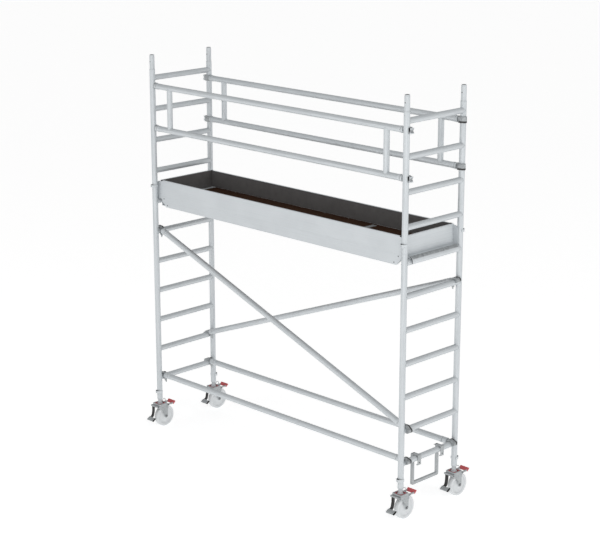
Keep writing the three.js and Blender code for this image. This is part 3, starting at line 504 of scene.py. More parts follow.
# ---- Mesh building ----
class Shape:
    """Closed shells gathered into one mesh, with a finish for each group of them."""

    def __init__(self, metal: Metal) -> None:
        """Start with no shells, and with a finish for the first."""
        self.bm = bmesh.new()
        self.metals = [metal]
        self.slot = 0

    def of(self, metal: Metal) -> "Shape":
        """Give the shells that follow this finish."""
        if metal not in self.metals:
            self.metals.append(metal)
        self.slot = self.metals.index(metal)
        return self

    def _skin(self, rings: list[list[bmesh.types.BMVert]], closed: bool) -> None:
        """Join rings of equal length, or single points, with faces."""
        pairs = list(zip(rings, rings[1:])) + ([(rings[-1], rings[0])] if closed else [])
        for low, high in pairs:
            count = max(len(low), len(high))
            if count == 1:
                continue
            for i in range(count):
                j = (i + 1) % count
                loop = [low[i % len(low)], low[j % len(low)], high[j % len(high)], high[i % len(high)]]
                face = self.bm.faces.new(list(dict.fromkeys(loop)))
                face.material_index = self.slot

    def _cap(self, ring: list[bmesh.types.BMVert]) -> None:
        """Close a ring with one face."""
        self.bm.faces.new(ring).material_index = self.slot

    def lathe(self, profile: Sequence[Point], place: Matrix, sides: int = 40, ring: bool = False) -> None:
        """Turn a profile about the place's Z.

        Args:
            profile: Points of radius and height.
            place: Where it goes.
            sides: How many sides it has.
            ring: True if the profile closes on itself.
        """
        rings = []
        for radius, height in profile:
            count = 1 if radius < 1e-7 else sides
            rings.append([
                self.bm.verts.new(place @ Vector((
                    radius * math.cos(TAU * i / count), radius * math.sin(TAU * i / count), height,
                ))) for i in range(count)
            ])
        self._skin(rings, ring)

    def extrude(self, outline: Sequence[Point], low: float, high: float, place: Matrix) -> None:
        """Pull an outline in the place's XY from low to high along its Z."""
        self.loft(((outline, low), (outline, high)), place)

    def loft(self, outlines: Sequence[tuple[Sequence[Point], float]], place: Matrix) -> None:
        """Skin outlines of equal length at their heights, and close both ends."""
        rings = self._rings(outlines, place)
        self._skin(rings, False)
        self._cap(rings[0])
        self._cap(rings[-1])

    def pipe(self, outlines: Sequence[tuple[Sequence[Point], float]], place: Matrix) -> None:
        """Skin outlines of equal length at their heights, and join the last to the first."""
        self._skin(self._rings(outlines, place), True)

    def _rings(
        self, outlines: Sequence[tuple[Sequence[Point], float]], place: Matrix
    ) -> list[list[bmesh.types.BMVert]]:
        """Corners for outlines at their heights."""
        return [[self.bm.verts.new(place @ Vector((x, y, h))) for x, y in points] for points, h in outlines]

    def box(self, x: Sequence[float], y: Sequence[float], z: Sequence[float]) -> None:
        """A block between two places on each axis, in either order, for a bevel to finish."""
        (x0, x1), (y0, y1), (z0, z1) = sorted(x), sorted(y), sorted(z)
        self.extrude(rectangle((x0, y0), (x1, y1)), z0, z1, Matrix.Identity(4))

    def wire(self, path: Sequence[Vector], radius: float, sides: int = 12, loop: bool = False) -> None:
        """Sweep a round wire along a path.

        Args:
            path: Points on its middle line.
            radius: Its radius.
            sides: How many sides it has.
            loop: True if the path closes on itself.
        """
        rings, normal = [], None
        count = len(path)
        for i, spot in enumerate(path):
            after = path[(i + 1) % count] if loop or i + 1 < count else spot
            before = path[i - 1] if loop or i else spot
            way = (after - before).normalized()
            if normal is None:
                normal = way.orthogonal().normalized()
            normal = (normal - way * normal.dot(way)).normalized()
            side = way.cross(normal)
            rings.append([
                self.bm.verts.new(spot + radius * (
                    normal * math.cos(TAU * k / sides) + side * math.sin(TAU * k / sides)
                )) for k in range(sides)
            ])
        self._skin(rings, loop)
        if not loop:
            self._cap(rings[0])
            self._cap(rings[-1])

    def piece(
        self,
        name: str,
        body: str = TOWER,
        slot: str = "",
        replaces: Sequence[str] = (),
        bevel: float = 0.0,
        angle: float = 34.0,
    ) -> None:
        """Turn the shells into a finished piece.

        Args:
            name: The piece's name.
            body: The body it rides on.
            slot: The record's material slot; not used.
            replaces: The CAD nodes it stands for.
            bevel: The width of its edge rounding, or 0.
            angle: Edges sharper than this are kept, in degrees.
        """
        bmesh.ops.recalc_face_normals(self.bm, faces=self.bm.faces)
        mesh = bpy.data.meshes.new(name)
        self.bm.to_mesh(mesh)
        self.bm.free()
        for metal in self.metals:
            mesh.materials.append(metal.make())
        obj = stand(mesh, name, body, replaces, angle)
        if bevel:
            edge = obj.modifiers.new("edges", "BEVEL")
            edge.width, edge.segments = bevel, 2
            edge.limit_method, edge.angle_limit = "ANGLE", math.radians(angle)
            edge.harden_normals = True


def stand(
    mesh: bpy.types.Mesh,
    name: str,
    body: str,
    replaces: Sequence[str] = (),
    angle: float = 34.0,
) -> bpy.types.Object:
    """Make a mesh a piece of the tower and report it.

    Args:
        mesh: The finished mesh, in place.
        name: The piece's name.
        body: The body it rides on.
        replaces: The CAD nodes it stands for.
        angle: Edges sharper than this stay sharp, in degrees.

    Returns:
        The object.
    """
    mesh.shade_smooth()
    mesh.set_sharp_from_angle(angle=math.radians(angle))
    obj = bpy.data.objects.new(name, mesh)
    bpy.context.scene.collection.objects.link(obj)
    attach(obj, body)
    if replaces:
        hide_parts(*replaces)
    LOG.info("%s on %s: %d faces", name, body, len(mesh.polygons))
    return obj


# ---- Geometry rules ----
class Rule:
    """A Geometry Nodes tree with named inputs, run on a source mesh to make a plain one."""

    def __init__(self, name: str, inputs: dict[str, tuple[str, object]]) -> None:
        """Open the tree.

        Args:
            name: The tree's name.
            inputs: Each input's socket type and default, by name.
        """
        self.tree = bpy.data.node_groups.new(name, "GeometryNodeTree")
        self.g = Graph(self.tree)
        face = self.tree.interface
        face.new_socket("Geometry", in_out="INPUT", socket_type="NodeSocketGeometry")
        face.new_socket("Geometry", in_out="OUTPUT", socket_type="NodeSocketGeometry")
        self.ids = {}
        for key, (kind, value) in inputs.items():
            socket = face.new_socket(key, in_out="INPUT", socket_type=f"NodeSocket{kind}")
            if value is not None:
                socket.default_value = value
            self.ids[key] = socket.identifier
        socket = face.new_socket("Finish", in_out="INPUT", socket_type="NodeSocketMaterial")
        self.ids["Finish"] = socket.identifier
        entry = self.tree.nodes.new("NodeGroupInput")
        self.inputs = {socket.name: Sock(self.g, socket) for socket in entry.outputs if socket.name}

    def turn(self, settings: dict[str, str], facing: Sock | None = None) -> Sock:
        """The rotation that faces a way, which is each point's own unless it is given."""
        own = {"data_type": "FLOAT_VECTOR"}
        way = facing or self.g.node("GeometryNodeInputNamedAttribute", own, {"Name": "facing"})
        return self.g.node("FunctionNodeAlignRotationToVector", settings, {"Vector": way})

    def close_on_points(self, points: Sock, instance: Sock, turn: Sock) -> None:
        """End the tree with a copy of the instance on each point."""
        inputs = {"Points": points, "Instance": instance, "Rotation": turn}
        self.close(self.g.node("GeometryNodeInstanceOnPoints", None, inputs))

    def close(self, geometry: Sock) -> None:
        """End the tree with real, finished geometry."""
        real = self.g.node("GeometryNodeRealizeInstances", None, {"Geometry": geometry})
        dressed = self.g.node(
            "GeometryNodeSetMaterial", None, {"Geometry": real, "Material": self.inputs["Finish"]}
        )
        self.g.node("NodeGroupOutput", None, {0: dressed})

    def run(self, source: bpy.types.Mesh, metal: Metal, values: dict[str, object]) -> bpy.types.Mesh:
        """Run the rule.

        Args:
            source: The mesh that it starts from.
            metal: The finish.
            values: Its inputs by name.

        Returns:
            The result as a plain mesh.
        """
        carrier = bpy.data.objects.new("carrier", source)
        bpy.context.scene.collection.objects.link(carrier)
        modifier = carrier.modifiers.new("rule", "NODES")
        modifier.node_group = self.tree
        for key, value in {**values, "Finish": metal.make()}.items():
            modifier[self.ids[key]] = value
        graph = bpy.context.evaluated_depsgraph_get()
        made = bpy.data.meshes.new_from_object(
            carrier.evaluated_get(graph), preserve_all_data_layers=True, depsgraph=graph
        )
        bpy.data.objects.remove(carrier)
        bpy.data.meshes.remove(source)
        return made


def wires(lines: Sequence[Line]) -> bpy.types.Mesh:
    """A mesh of loose edges, one for each line."""
    mesh = bpy.data.meshes.new("lines")
    spots = [spot for line in lines for spot in line]
    mesh.from_pydata(spots, [(2 * i, 2 * i + 1) for i in range(len(lines))], [])
    return mesh


def spots(places: Sequence[Line]) -> bpy.types.Mesh:
    """A mesh of loose points, each with the way it faces."""
    mesh = bpy.data.meshes.new("spots")
    mesh.from_pydata([place for place, _ in places], [], [])
    facing = mesh.attributes.new("facing", "FLOAT_VECTOR", "POINT")
    facing.data.foreach_set("vector", [c for _, way in places for c in way])
    return mesh


class TubeRule(Rule):
    """Round tubes along lines, with shallow ribs that run lengthwise."""

    def __init__(self) -> None:
        """Build the tree."""
        super().__init__("ribbed_tubes", {
            "Radius": ("Float", 0.025), "Ribs": ("Float", 24.0), "Rib Depth": ("Float", 0.0004),
            "Sides": ("Int", 96),
        })
        g, given = self.g, self.inputs
        curve = g.node("GeometryNodeMeshToCurve", None, {"Mesh": given["Geometry"]})
        length = g.node("GeometryNodeSplineParameter", None, None, "Length")
        curve = self._stored("FLOAT", curve, "along", length)
        ring = g.node(
            "GeometryNodeCurvePrimitiveCircle", None,
            {"Resolution": given["Sides"], "Radius": given["Radius"]},
        )
        place = g.node("GeometryNodeInputPosition")
        x, y, _ = g.parts(place)
        angle = g.node("ShaderNodeMath", {"operation": "ARCTAN2"}, {0: y, 1: x})
        groove = (angle * given["Ribs"]).sin().ramp(0.35, 0.85)
        shrink = 1.0 - groove * given["Rib Depth"] / given["Radius"]
        inner = g.joined(x * shrink, y * shrink, 0.0)
        ring = g.node("GeometryNodeSetPosition", None, {"Geometry": ring, "Position": inner})
        ring = self._stored("FLOAT_VECTOR", ring, "section", g.node("GeometryNodeInputPosition"))
        self.close(g.node("GeometryNodeCurveToMesh", None, {
            "Curve": curve, "Profile Curve": ring, "Fill Caps": True,
        }))

    def _stored(self, kind: str, geometry: Sock, name: str, value: Sock) -> Sock:
        """The geometry with a named attribute for the finish to read."""
        inputs = {"Geometry": geometry, "Name": name, "Value": value}
        return self.g.node("GeometryNodeStoreNamedAttribute", {"data_type": kind}, inputs)


class StudRule(Rule):
    """Domed rivet or screw heads on points, each facing its own way."""

    def __init__(self) -> None:
        """Build the tree."""
        super().__init__("studs", {
            "Head Radius": ("Float", 0.005), "Head Height": ("Float", 0.0018),
        })
        g, given = self.g, self.inputs
        dome = g.node("GeometryNodeMeshUVSphere", None, {"Segments": 14, "Rings": 8, "Radius": 1.0})
        size = g.joined(given["Head Radius"], given["Head Radius"], given["Head Height"])
        dome = g.node("GeometryNodeTransform", None, {"Geometry": dome, "Scale": size})
        self.close_on_points(given["Geometry"], dome, self.turn({"axis": "Z"}))


class RibRule(Rule):
    """A row of equal round ribs beside each other."""

    def __init__(self) -> None:
        """Build the tree."""
        super().__init__("rib_row", {
            "Count": ("Int", 8), "Start": ("Vector", None), "Step": ("Vector", None),
            "Along": ("Vector", None), "Radius": ("Float", 0.0015), "Length": ("Float", 0.05),
        })
        g, given = self.g, self.inputs
        row = g.node("GeometryNodeMeshLine", {"mode": "OFFSET"}, {
            "Count": given["Count"], "Start Location": given["Start"], "Offset": given["Step"],
        })
        rib = g.node("GeometryNodeMeshCylinder", None, {
            "Vertices": 10, "Radius": given["Radius"], "Depth": given["Length"],
        })
        self.close_on_points(row, rib, self.turn({"axis": "Z"}, given["Along"]))


class WeldRule(Rule):
    """A bead of small weld ripples where a rung's end meets its standard."""

    def __init__(self) -> None:
        """Build the tree."""
        super().__init__("weld_beads", {
            "Tube Radius": ("Float", 0.025), "Rung Radius": ("Float", 0.025),
            "Ripples": ("Int", 44), "Bead Radius": ("Float", 0.0026),
        })
        g, given = self.g, self.inputs
        seam = g.node("GeometryNodeMeshCircle", None, {
            "Vertices": given["Ripples"], "Radius": given["Rung Radius"],
        })
        x, y, _ = g.parts(g.node("GeometryNodeInputPosition"))
        inset = x * 0.985
        reach = given["Tube Radius"] * given["Tube Radius"] - inset * inset
        reach = g.node("ShaderNodeMath", {"operation": "MAXIMUM"}, {0: reach, 1: 0.0}).root()
        saddle = g.joined(x, reach, y)
        seam = g.node("GeometryNodeSetPosition", None, {"Geometry": seam, "Position": saddle})
        ripple = g.node("GeometryNodeMeshIcoSphere", None, {"Radius": given["Bead Radius"]})
        bead = g.node("GeometryNodeInstanceOnPoints", None, {"Points": seam, "Instance": ripple})
        self.close_on_points(given["Geometry"], bead, self.turn({"axis": "Y", "pivot_axis": "Z"}))


# ---- Sub-assemblies ----
@dataclass
class Rules:
    """The geometry rules that the sub-assemblies share."""

    tubes: TubeRule = field(default_factory=TubeRule)
    studs: StudRule = field(default_factory=StudRule)
    ribs: RibRule = field(default_factory=RibRule)
    welds: WeldRule = field(default_factory=WeldRule)

    def rivets(
        self,
        name: str,
        places: Sequence[Line],
        metal: Metal = Metal.ZINC,
        radius: float = 0.0042,
        height: float = 0.0016,
        body: str = TOWER,
    ) -> None:
        """Set domed heads on points, as one piece.

        Args:
            name: The piece's name.
            places: Each head's point and the way it faces.
            metal: The finish.
            radius: A head's radius.
            height: How far it stands up.
            body: The body it rides on.
        """
        values = {"Head Radius": radius, "Head Height": height}
        stand(self.studs.run(spots(places), metal, values), name, body)

    def tube_set(
        self,
        name: str,
        lines: Sequence[Line],
        radius: float,
        rib_depth: float = 0.0005,
        ribs: float = 24.0,
        replaces: Sequence[str] = (),
    ) -> None:
        """Make tubes along lines as one piece.

        Args:
            name: The piece's name.
            lines: Each tube's two ends.
            radius: Their radius.
            rib_depth: The depth of their lengthwise grooves.
            ribs: How many grooves go round.
            replaces: The CAD nodes it stands for.
        """
        values = {"Radius": radius, "Ribs": ribs, "Rib Depth": rib_depth, "Sides": 96}
        mesh = self.tubes.run(wires(lines), Metal.TUBE, values)
        stand(mesh, name, TOWER, replaces, 50.0)

    def rib_row(
        self, name: str, body: str, slot: str, metal: Metal, values: dict[str, object]
    ) -> None:
        """Make a row of ribs as one piece.

        Args:
            name: The piece's name.
            body: The body it rides on.
            slot: The record's material slot; not used.
            metal: The finish.
            values: The row's sizes, by the rule's input names.
        """
        row = self.ribs.run(bpy.data.meshes.new("row"), metal, values)
        stand(row, name, body)


@dataclass
class LadderFrame:
    """A ladder frame: two standards with spigots, and ribbed rungs welded between them."""

    rules: Rules
    level: str
    end: str
    tube_radius: float = 0.025
    rung_radius: float = 0.0246
    rung_pitch: float = 0.28
    first_rung: float = 0.205
    last_rung_drop: float = 0.075
    spigot_length: float = 0.13
    spigot_radius: float = 0.0225
    bore_radius: float = 0.018
    pin_rise: float = 0.068
    pin_radius: float = 0.0046

    def __post_init__(self) -> None:
        """Take the frame's place from its node."""
        self.node = f"{self.level}_frame_{self.end}"
        low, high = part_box(self.node)
        self.x = (low.x + high.x) / 2
        self.foot = low.z
        self.top = high.z - self.spigot_length
        self.half = high.y - self.tube_radius
        height = self.top - self.foot - self.first_rung - self.last_rung_drop
        self.rungs = round(height / self.rung_pitch) + 1

    def rung_height(self, index: int) -> float:
        """A rung's axis height."""
        return self.foot + self.first_rung + index * self.rung_pitch

    def standards(self) -> None:
        """The two standards, smooth drawn tube."""
        lines = [
            (Vector((self.x, s * self.half, self.foot)), Vector((self.x, s * self.half, self.top)))
            for s in (-1, 1)
        ]
        self.rules.tube_set(
            f"{self.node}_standards", lines, self.tube_radius, 0.00012, 10.0, [self.node]
        )

    def ladder_rungs(self) -> None:
        """The ribbed rungs and the weld round each of their ends."""
        lines, ends = [], []
        for index in range(self.rungs):
            z = self.rung_height(index)
            reach = self.half - 0.012
            lines.append((Vector((self.x, -reach, z)), Vector((self.x, reach, z))))
            for side in (-1, 1):
                ends.append((Vector((self.x, side * self.half, z)), Vector((0, -side, 0))))
        self.rules.tube_set(f"{self.node}_rungs", lines, self.rung_radius, 0.0006, 26.0)
        welds = self.rules.welds.run(spots(ends), Metal.TUBE, {
            "Tube Radius": self.tube_radius, "Rung Radius": self.rung_radius,
            "Ripples": 44, "Bead Radius": 0.0024,
        })
        stand(welds, f"{self.node}_welds", TOWER, (), 80.0)

    def spigots(self) -> None:
        """Round-topped spigots: a black plug in each bore just under the top is painted shade of the open
        bore, and each pin hole is a shallow black disc, painted shade.
        """
        shape = Shape(Metal.PROFILE_X)
        for side in (-1, 1):
            place = Matrix.Translation((self.x, side * self.half, 0))
            end, r = self.top + self.spigot_length, self.spigot_radius
            core = self.bore_radius - 0.0012
            profile = near((0.0, self.top), (0, -20)) + near((r, self.top), (0, -20))
            profile += near((r, end), (0, -22), (-0.4, -13), (-1.6, -6), (-3, -1.4), (-3.8, -0.3), (-4.6, 0))
            profile += near((core, end), (0.6, -0.3), (0, -1), (0, -20)) + near((0.0, end), (0, -20))
            shape.of(Metal.PROFILE_X).lathe(profile, place)
            seam = near((self.tube_radius, self.top), (-1, -2), (0, -1), (-0.4, 0))
            shape.lathe(seam + near((r, self.top), (-1, 0)), place, ring=True)
            # Black plug filling the bore up to just under the top: painted shade of the open bore.
            plug = near((0.0, end), (0, -19)) + near((core, end), (-0.2, -19), (-0.2, -1.2))
            shape.of(Metal.BLACK).lathe(plug + near((0.0, end), (0, -1.6)), place)
            for way in (-1, 1):
                face_y = side * self.half + way * (r - 0.0012)
                hole = axes((self.x, face_y, self.top + self.pin_rise), X, (0, 0, -way))
                # Each pin hole is a shallow black disc across the surface: painted shade of the hole.
                bore = near((self.pin_radius, 0.0), (0, -2), (0, 1.6))
                bore = near(CENTRE, (0, -2)) + bore + near(CENTRE, (0, 1.6))
                shape.of(Metal.BLACK).lathe(bore, hole, 20)
                rim = near((self.pin_radius, 0.0), (0, 0), (0, 1.3), (0.9, 0.9), (0.9, 0))
                shape.of(Metal.ZINC).lathe(rim, hole, 20, ring=True)
        shape.piece(f"{self.node}_spigots", slot="aluminium_tube")

    def marks(self) -> None:
        """The crimp rivets that hold each spigot, and those near the feet."""
        places = []
        for side in (-1, 1):
            for z in (self.top - 0.03, self.foot + 0.035):
                for way in (Vector((0, side, 0)), Vector((-ENDS[self.end], 0, 0))):
                    spot = Vector((self.x, side * self.half, z)) + way * (self.tube_radius - 0.0004)
                    places.append((spot, way))
        self.rules.rivets(f"{self.node}_crimps", places, radius=0.0036, height=0.0011)

    def build(self) -> None:
        """Make the frame's pieces."""
        self.standards()
        self.ladder_rungs()
        self.spigots()
        self.marks()


@dataclass
class SpringClip:
    """A sprung band round a standard, with the pin that locks two tubes together."""

    node: str
    side: int
    wall: float = 0.0032
    leg: float = 0.012
    pin_radius: float = 0.004

    def build(self) -> None:
        """Make the bowed band with its legs, a black fill painted as the shade in the gap between the bow
        and the standard, and the pin with its head.
        """
        low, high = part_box(self.node)
        half, height = (high.x - low.x) / 2, high.z - low.z
        back = high.y if self.side > 0 else low.y
        axis = (low.y + self.leg) if self.side > 0 else (high.y - self.leg)
        reach = abs(back - axis)
        place = axes(((low.x + high.x) / 2, axis, (low.z + high.z) / 2), (1, 0, 0), (0, self.side, 0))
        turns = [math.pi * i / 28 for i in range(29)]
        band = [(half * math.cos(a), reach * math.sin(a)) for a in turns]
        band += [(-half, -self.leg), (-half + self.wall, -self.leg)]
        inner, bow = half - self.wall, reach - self.wall
        inside = [(inner * math.cos(a), bow * math.sin(a)) for a in turns]
        band += inside[::-1]
        band += [(inner, -self.leg), (half, -self.leg)]
        shape = Shape(Metal.PROFILE_Y)
        shape.extrude(band, -height / 2, height / 2, place)
        # Black fill between the bow and the standard: painted shade of the gap.
        pad = [(x * 0.995, y * 0.995) for x, y in inside[3:26]]
        pad += arc((0, 0), inner - 0.0001, 160, 20, 22)
        shape.of(Metal.BLACK).extrude(pad, -height / 2 + 0.002, height / 2 - 0.0015, place)
        pin = place @ Matrix.Translation((0, reach, 0)) @ quarter_turn("X")
        r, tip = self.pin_radius, reach - 0.002
        profile = near(CENTRE, (0, -1.1)) + near((r, 0.0), (0.8, -0.9), (2, -0.1), (2, 0.6), (0, 1))
        profile += near((r, tip), (0, -2), (-1.5, 0)) + [(0.0, tip)]
        shape.of(Metal.ZINC).lathe(profile, pin, 20)
        shape.piece(self.node + "_spring", self.node, "zinc_steel", [self.node], 0.0006)


@dataclass
class Caster:
    """A braked caster: stem, swivel housing with two legs, wheel, brake pedal and release lever."""

    rules: Rules
    side: str
    end: str
    tube_radius: float = 0.025
    stem_radius: float = 0.0185
    wall: float = 0.010
    plate_thickness: float = 0.03
    recess_depth: float = 0.008
    leg_thickness: float = 0.005
    leg_inner: float = 0.027
    axle_radius: float = 0.008
    pivot_reach: float = 0.010
    pivot_radius: float = 0.005
    boss_radius: float = 0.009

    def __post_init__(self) -> None:
        """Take the caster's place from its nodes."""
        self.corner = f"{self.side}_{self.end}"
        self.node = f"caster_{self.corner}"
        low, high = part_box(f"{self.node}_stem")
        self.x, self.y = (low.x + high.x) / 2, (low.y + high.y) / 2
        self.stem_low, self.stem_high = low.z, high.z
        low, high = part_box(f"{self.node}_fork")
        self.half = (high.x - low.x) / 2
        self.plate_top = high.z
        self.plate_low = high.z - self.plate_thickness
        low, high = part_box(f"{self.node}_wheel")
        self.axle = Vector((self.x, (low.y + high.y) / 2, (low.z + high.z) / 2))
        self.wheel_radius = (high.z - low.z) / 2
        self.hub_half = (high.x - low.x) / 2
        self.pivot_z = self.plate_low + 0.007
        self.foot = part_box(f"lower_frame_{self.end}")[0].z
        self.bodies = {k: f"{k}_{self.corner}" for k in ("caster", "wheel", "pedal", "lever")}

    def at(self, x: float = 0.0, y: float = 0.0, z: float = 0.0) -> Matrix:
        """A place beside the swivel axis, unturned."""
        return Matrix.Translation((self.x + x, self.y + y, z))

    def _pivot(self, fore: int, x: float = 0.0, way: int = 1) -> Matrix:
        """A place on the front or back pivot's axis, with Z along it."""
        y = self.y + fore * (self.half + self.pivot_reach)
        return axes((self.x + x, y, self.pivot_z), Y, (0, 0, way))

    def _barrel(self, fore: int) -> Shape:
        """A shape that starts with the barrel on that pivot."""
        r, bore, reach = self.boss_radius, self.pivot_radius + 0.0006, self.half - 0.0065
        shape = Shape(Metal.ZINC)
        profile = [(bore, -reach), *near((r, -reach), (-1, 0), (0, 1)), *near((r, reach), (0, -1), (-1, 0))]
        shape.lathe([*profile, (bore, reach)], self._pivot(fore), 28, ring=True)
        return shape

    def stem(self) -> None:
        """The turned stem with its flange, collar, rivet head and the plug in the standard."""
        r, foot, top = self.stem_radius, self.foot, self.plate_top
        tube, recess = self.tube_radius, top - self.recess_depth
        low, high = self.stem_low, self.stem_high
        profile = [(0.0, low), *near((r, low), (2, 0), (4, 1.2))]
        profile += near((r, self.plate_low), (4, -0.3), (0, -0.3))
        profile += near((r, recess), (0, 0.4), (6.2, 0.4), (7, 1.2), (7, 4.6), (5.6, 6), (0, 6))
        profile += near((r, top), (0, 12), (-0.8, 13), (-0.8, 16), (0, 17))
        profile += near((r, foot), (0, -7.5), (2, -4.5))
        profile += near((tube, foot), (-0.8, -4.2), (0, -3.4), (0, -0.9))
        profile += near((tube, foot), (-0.6, -0.3), (-2.6, -0.3), (-2.6, 2))
        profile += near((tube, high), (-4, -3), (-6, 0)) + [(0.0, high)]
        shape = Shape(Metal.PROFILE_X)
        shape.lathe(profile, self.at(), 48)
        shape.piece(f"{self.node}_turned_stem", TOWER, "zinc_steel", [f"{self.node}_stem"])

    def _leg(self) -> list[Point]:
        """A leg's outline in the object's YZ, from the swivel axis."""
        trail, hub = self.axle.y - self.y, 0.019
        z = self.plate_low
        front = near((-self.half, z), (0, 4), (0, -13))
        ctrl, tip = Vector((trail - hub - 0.004, z - 0.035)), Vector((trail - hub, self.axle.z))
        first = Vector(front[-1])
        sweep = [
            tuple(first * (1 - t) ** 2 + ctrl * (2 * t * (1 - t)) + tip * t ** 2)
            for t in (i / 14 for i in range(1, 15))
        ]
        foot = arc((trail, self.axle.z), hub, 180, 360, 18)[1:]
        back = near((trail + hub, self.axle.z), (1, 30))
        back += near((self.half, z), (18, -42), (24, -26), (24.5, -19), (20, -12), (0, 4))
        return front + sweep + foot + back

    def housing(self) -> None:
        """The pressed housing with its recess, legs, pivot ears, bearing race and axle."""
        half, top, low = self.half, self.plate_top, self.plate_low
        shape = Shape(Metal.ZINC)
        radius = 0.012

        def square(size: float) -> list[Point]:
            return rounded(rectangle((-size, -size), (size, size)), radius * size / half, 6)

        rim, inner, floor = top - 0.0016, half - self.wall, top - self.recess_depth
        shape.loft([
            (square(half - 0.0012), low), (square(half), low + 0.0012), (square(half), rim),
            (square(half - 0.0014), top), (square(inner + 0.0014), top), (square(inner), rim),
            (square(inner - 0.0008), floor + 0.002), (square(inner - 0.003), floor),
        ], self.at())
        place = axes((self.x, self.y, 0), Y, Z)
        ear_thickness, ear_reach = 0.0055, half + self.pivot_reach + self.boss_radius
        for way in (-1, 1):
            x0 = self.leg_inner if way > 0 else -self.leg_inner - self.leg_thickness
            shape.extrude(self._leg(), x0, x0 + self.leg_thickness, place)
            for fore in (-1, 1):
                y0, y1 = sorted((fore * (half - 0.002), fore * ear_reach))
                z0, z1 = self.pivot_z - self.boss_radius, self.pivot_z + self.boss_radius
                ear = rounded(rectangle((y0, z0), (y1, z1)), 0.008, 6)
                x0 = -half if way < 0 else half - ear_thickness
                shape.extrude(ear, x0, x0 + ear_thickness, place)
        bore, race = self.stem_radius + 0.006, half * 0.86
        profile = near((bore, low), (0, -2.8)) + near((half * 0.82, low), (0, -2.8))
        profile += near((race, low), (0, -1.4), (0, 0.5)) + near((bore, low), (0, 0.5))
        shape.of(Metal.DARK).lathe(profile, self.at(), 56, ring=True)
        name, node = f"{self.node}_housing", f"{self.node}_fork"
        shape.piece(name, self.bodies["caster"], "zinc_steel", [node], 0.0008)
        self._bolts()
        self._recess_insert()

    def _bolts(self) -> None:
        """The axle's washers and nuts, and the pivot pins with their heads."""
        half, pin = self.half, self.pivot_radius

        bolts = Shape(Metal.ZINC)
        nut = self.leg_inner + self.leg_thickness
        for way in (-1, 1):
            side = axes((self.x + way * nut, self.axle.y, self.axle.z), Y, (0, 0, way))
            washer = near(CENTRE, (0, 0), (12.5, 0), (12.5, 1.4), (11.7, 1.8), (0, 1.8))
            hexagon = near(CENTRE, (0, 1.6), (9.8, 1.6), (10.6, 2.4), (10.6, 5.8), (9.8, 6.6), (0, 6.6))
            stub = near(CENTRE, (0, 6), (5.6, 6), (5.6, 6.6), (4.8, 7), (0, 7))
            bolts.of(Metal.ZINC).lathe(washer, side, 32)
            bolts.of(Metal.DARK).lathe(hexagon, side, 6)
            bolts.of(Metal.ZINC).lathe(stub, side, 20)
            for fore in (-1, 1):
                head = near((pin, 0.0), (0, -6), (0, -1.2), (2.2, -1), (2.2, -0.2), (1, 0))
                head = near(CENTRE, (0, -6)) + head + [CENTRE]
                metal = Metal.BLACK if fore < 0 else Metal.DARK
                bolts.of(metal).lathe(head, self._pivot(fore, way * half, way), 24)
        end = half - 0.001
        bolts.of(Metal.ZINC)
        for fore in (-1, 1):
            bolts.lathe([(0.0, -end), (pin, -end), (pin, end), (0.0, end)], self._pivot(fore), 24)
        bolts.piece(f"{self.node}_axle_and_pins", self.bodies["caster"], "zinc_steel")

    def _recess_insert(self) -> None:
        """The dark pocket, the red direction wings on it, and the wire hoop behind the stem."""
        floor = self.plate_top - self.recess_depth
        insert = Shape(Metal.DARK)
        reach = self.half - self.wall - 0.0045
        pocket = rounded(rectangle((-reach, -reach), (reach, reach)), 0.008, 5)
        insert.extrude(pocket, floor - 0.0002, floor + 0.0009, self.at())
        insert.of(Metal.RED)
        inner, outer = self.stem_radius + 0.0092, reach - 0.001
        for quarter in range(4):
            wing = [
                (-outer + 0.001, -outer), (outer - 0.001, -outer), (inner, -inner),
                (inner * 0.3, -outer + 0.002), (-inner * 0.3, -outer + 0.002), (-inner, -inner),
            ]
            turn = self.at() @ Matrix.Rotation(quarter * math.pi / 2, 4, "Z")
            insert.extrude(rounded(wing, 0.001, 2), floor + 0.0008, floor + 0.0062, turn)
        insert.piece(f"{self.node}_direction_insert", self.bodies["caster"], "red_plastic", (), 0.0005)

        hoop = Shape(Metal.CAST)
        foot_y, foot_z = self.y + self.half - 0.006, self.plate_top - 0.003
        half_span, lean, lift, steps = 0.019, 0.012, 0.026, 16
        path = [Vector((self.x - half_span, foot_y, foot_z))]
        for i in range(1, steps):
            a = math.pi * i / steps
            rise = self.plate_top + lift * math.sin(a) ** 0.6
            path.append(Vector((self.x - half_span * math.cos(a), foot_y + lean * math.sin(a), rise)))
        path.append(Vector((self.x + half_span, foot_y, foot_z)))
        hoop.wire(path, 0.0026, 10)
        hoop.piece(f"{self.node}_wire_hoop", self.bodies["caster"], "zinc_steel")

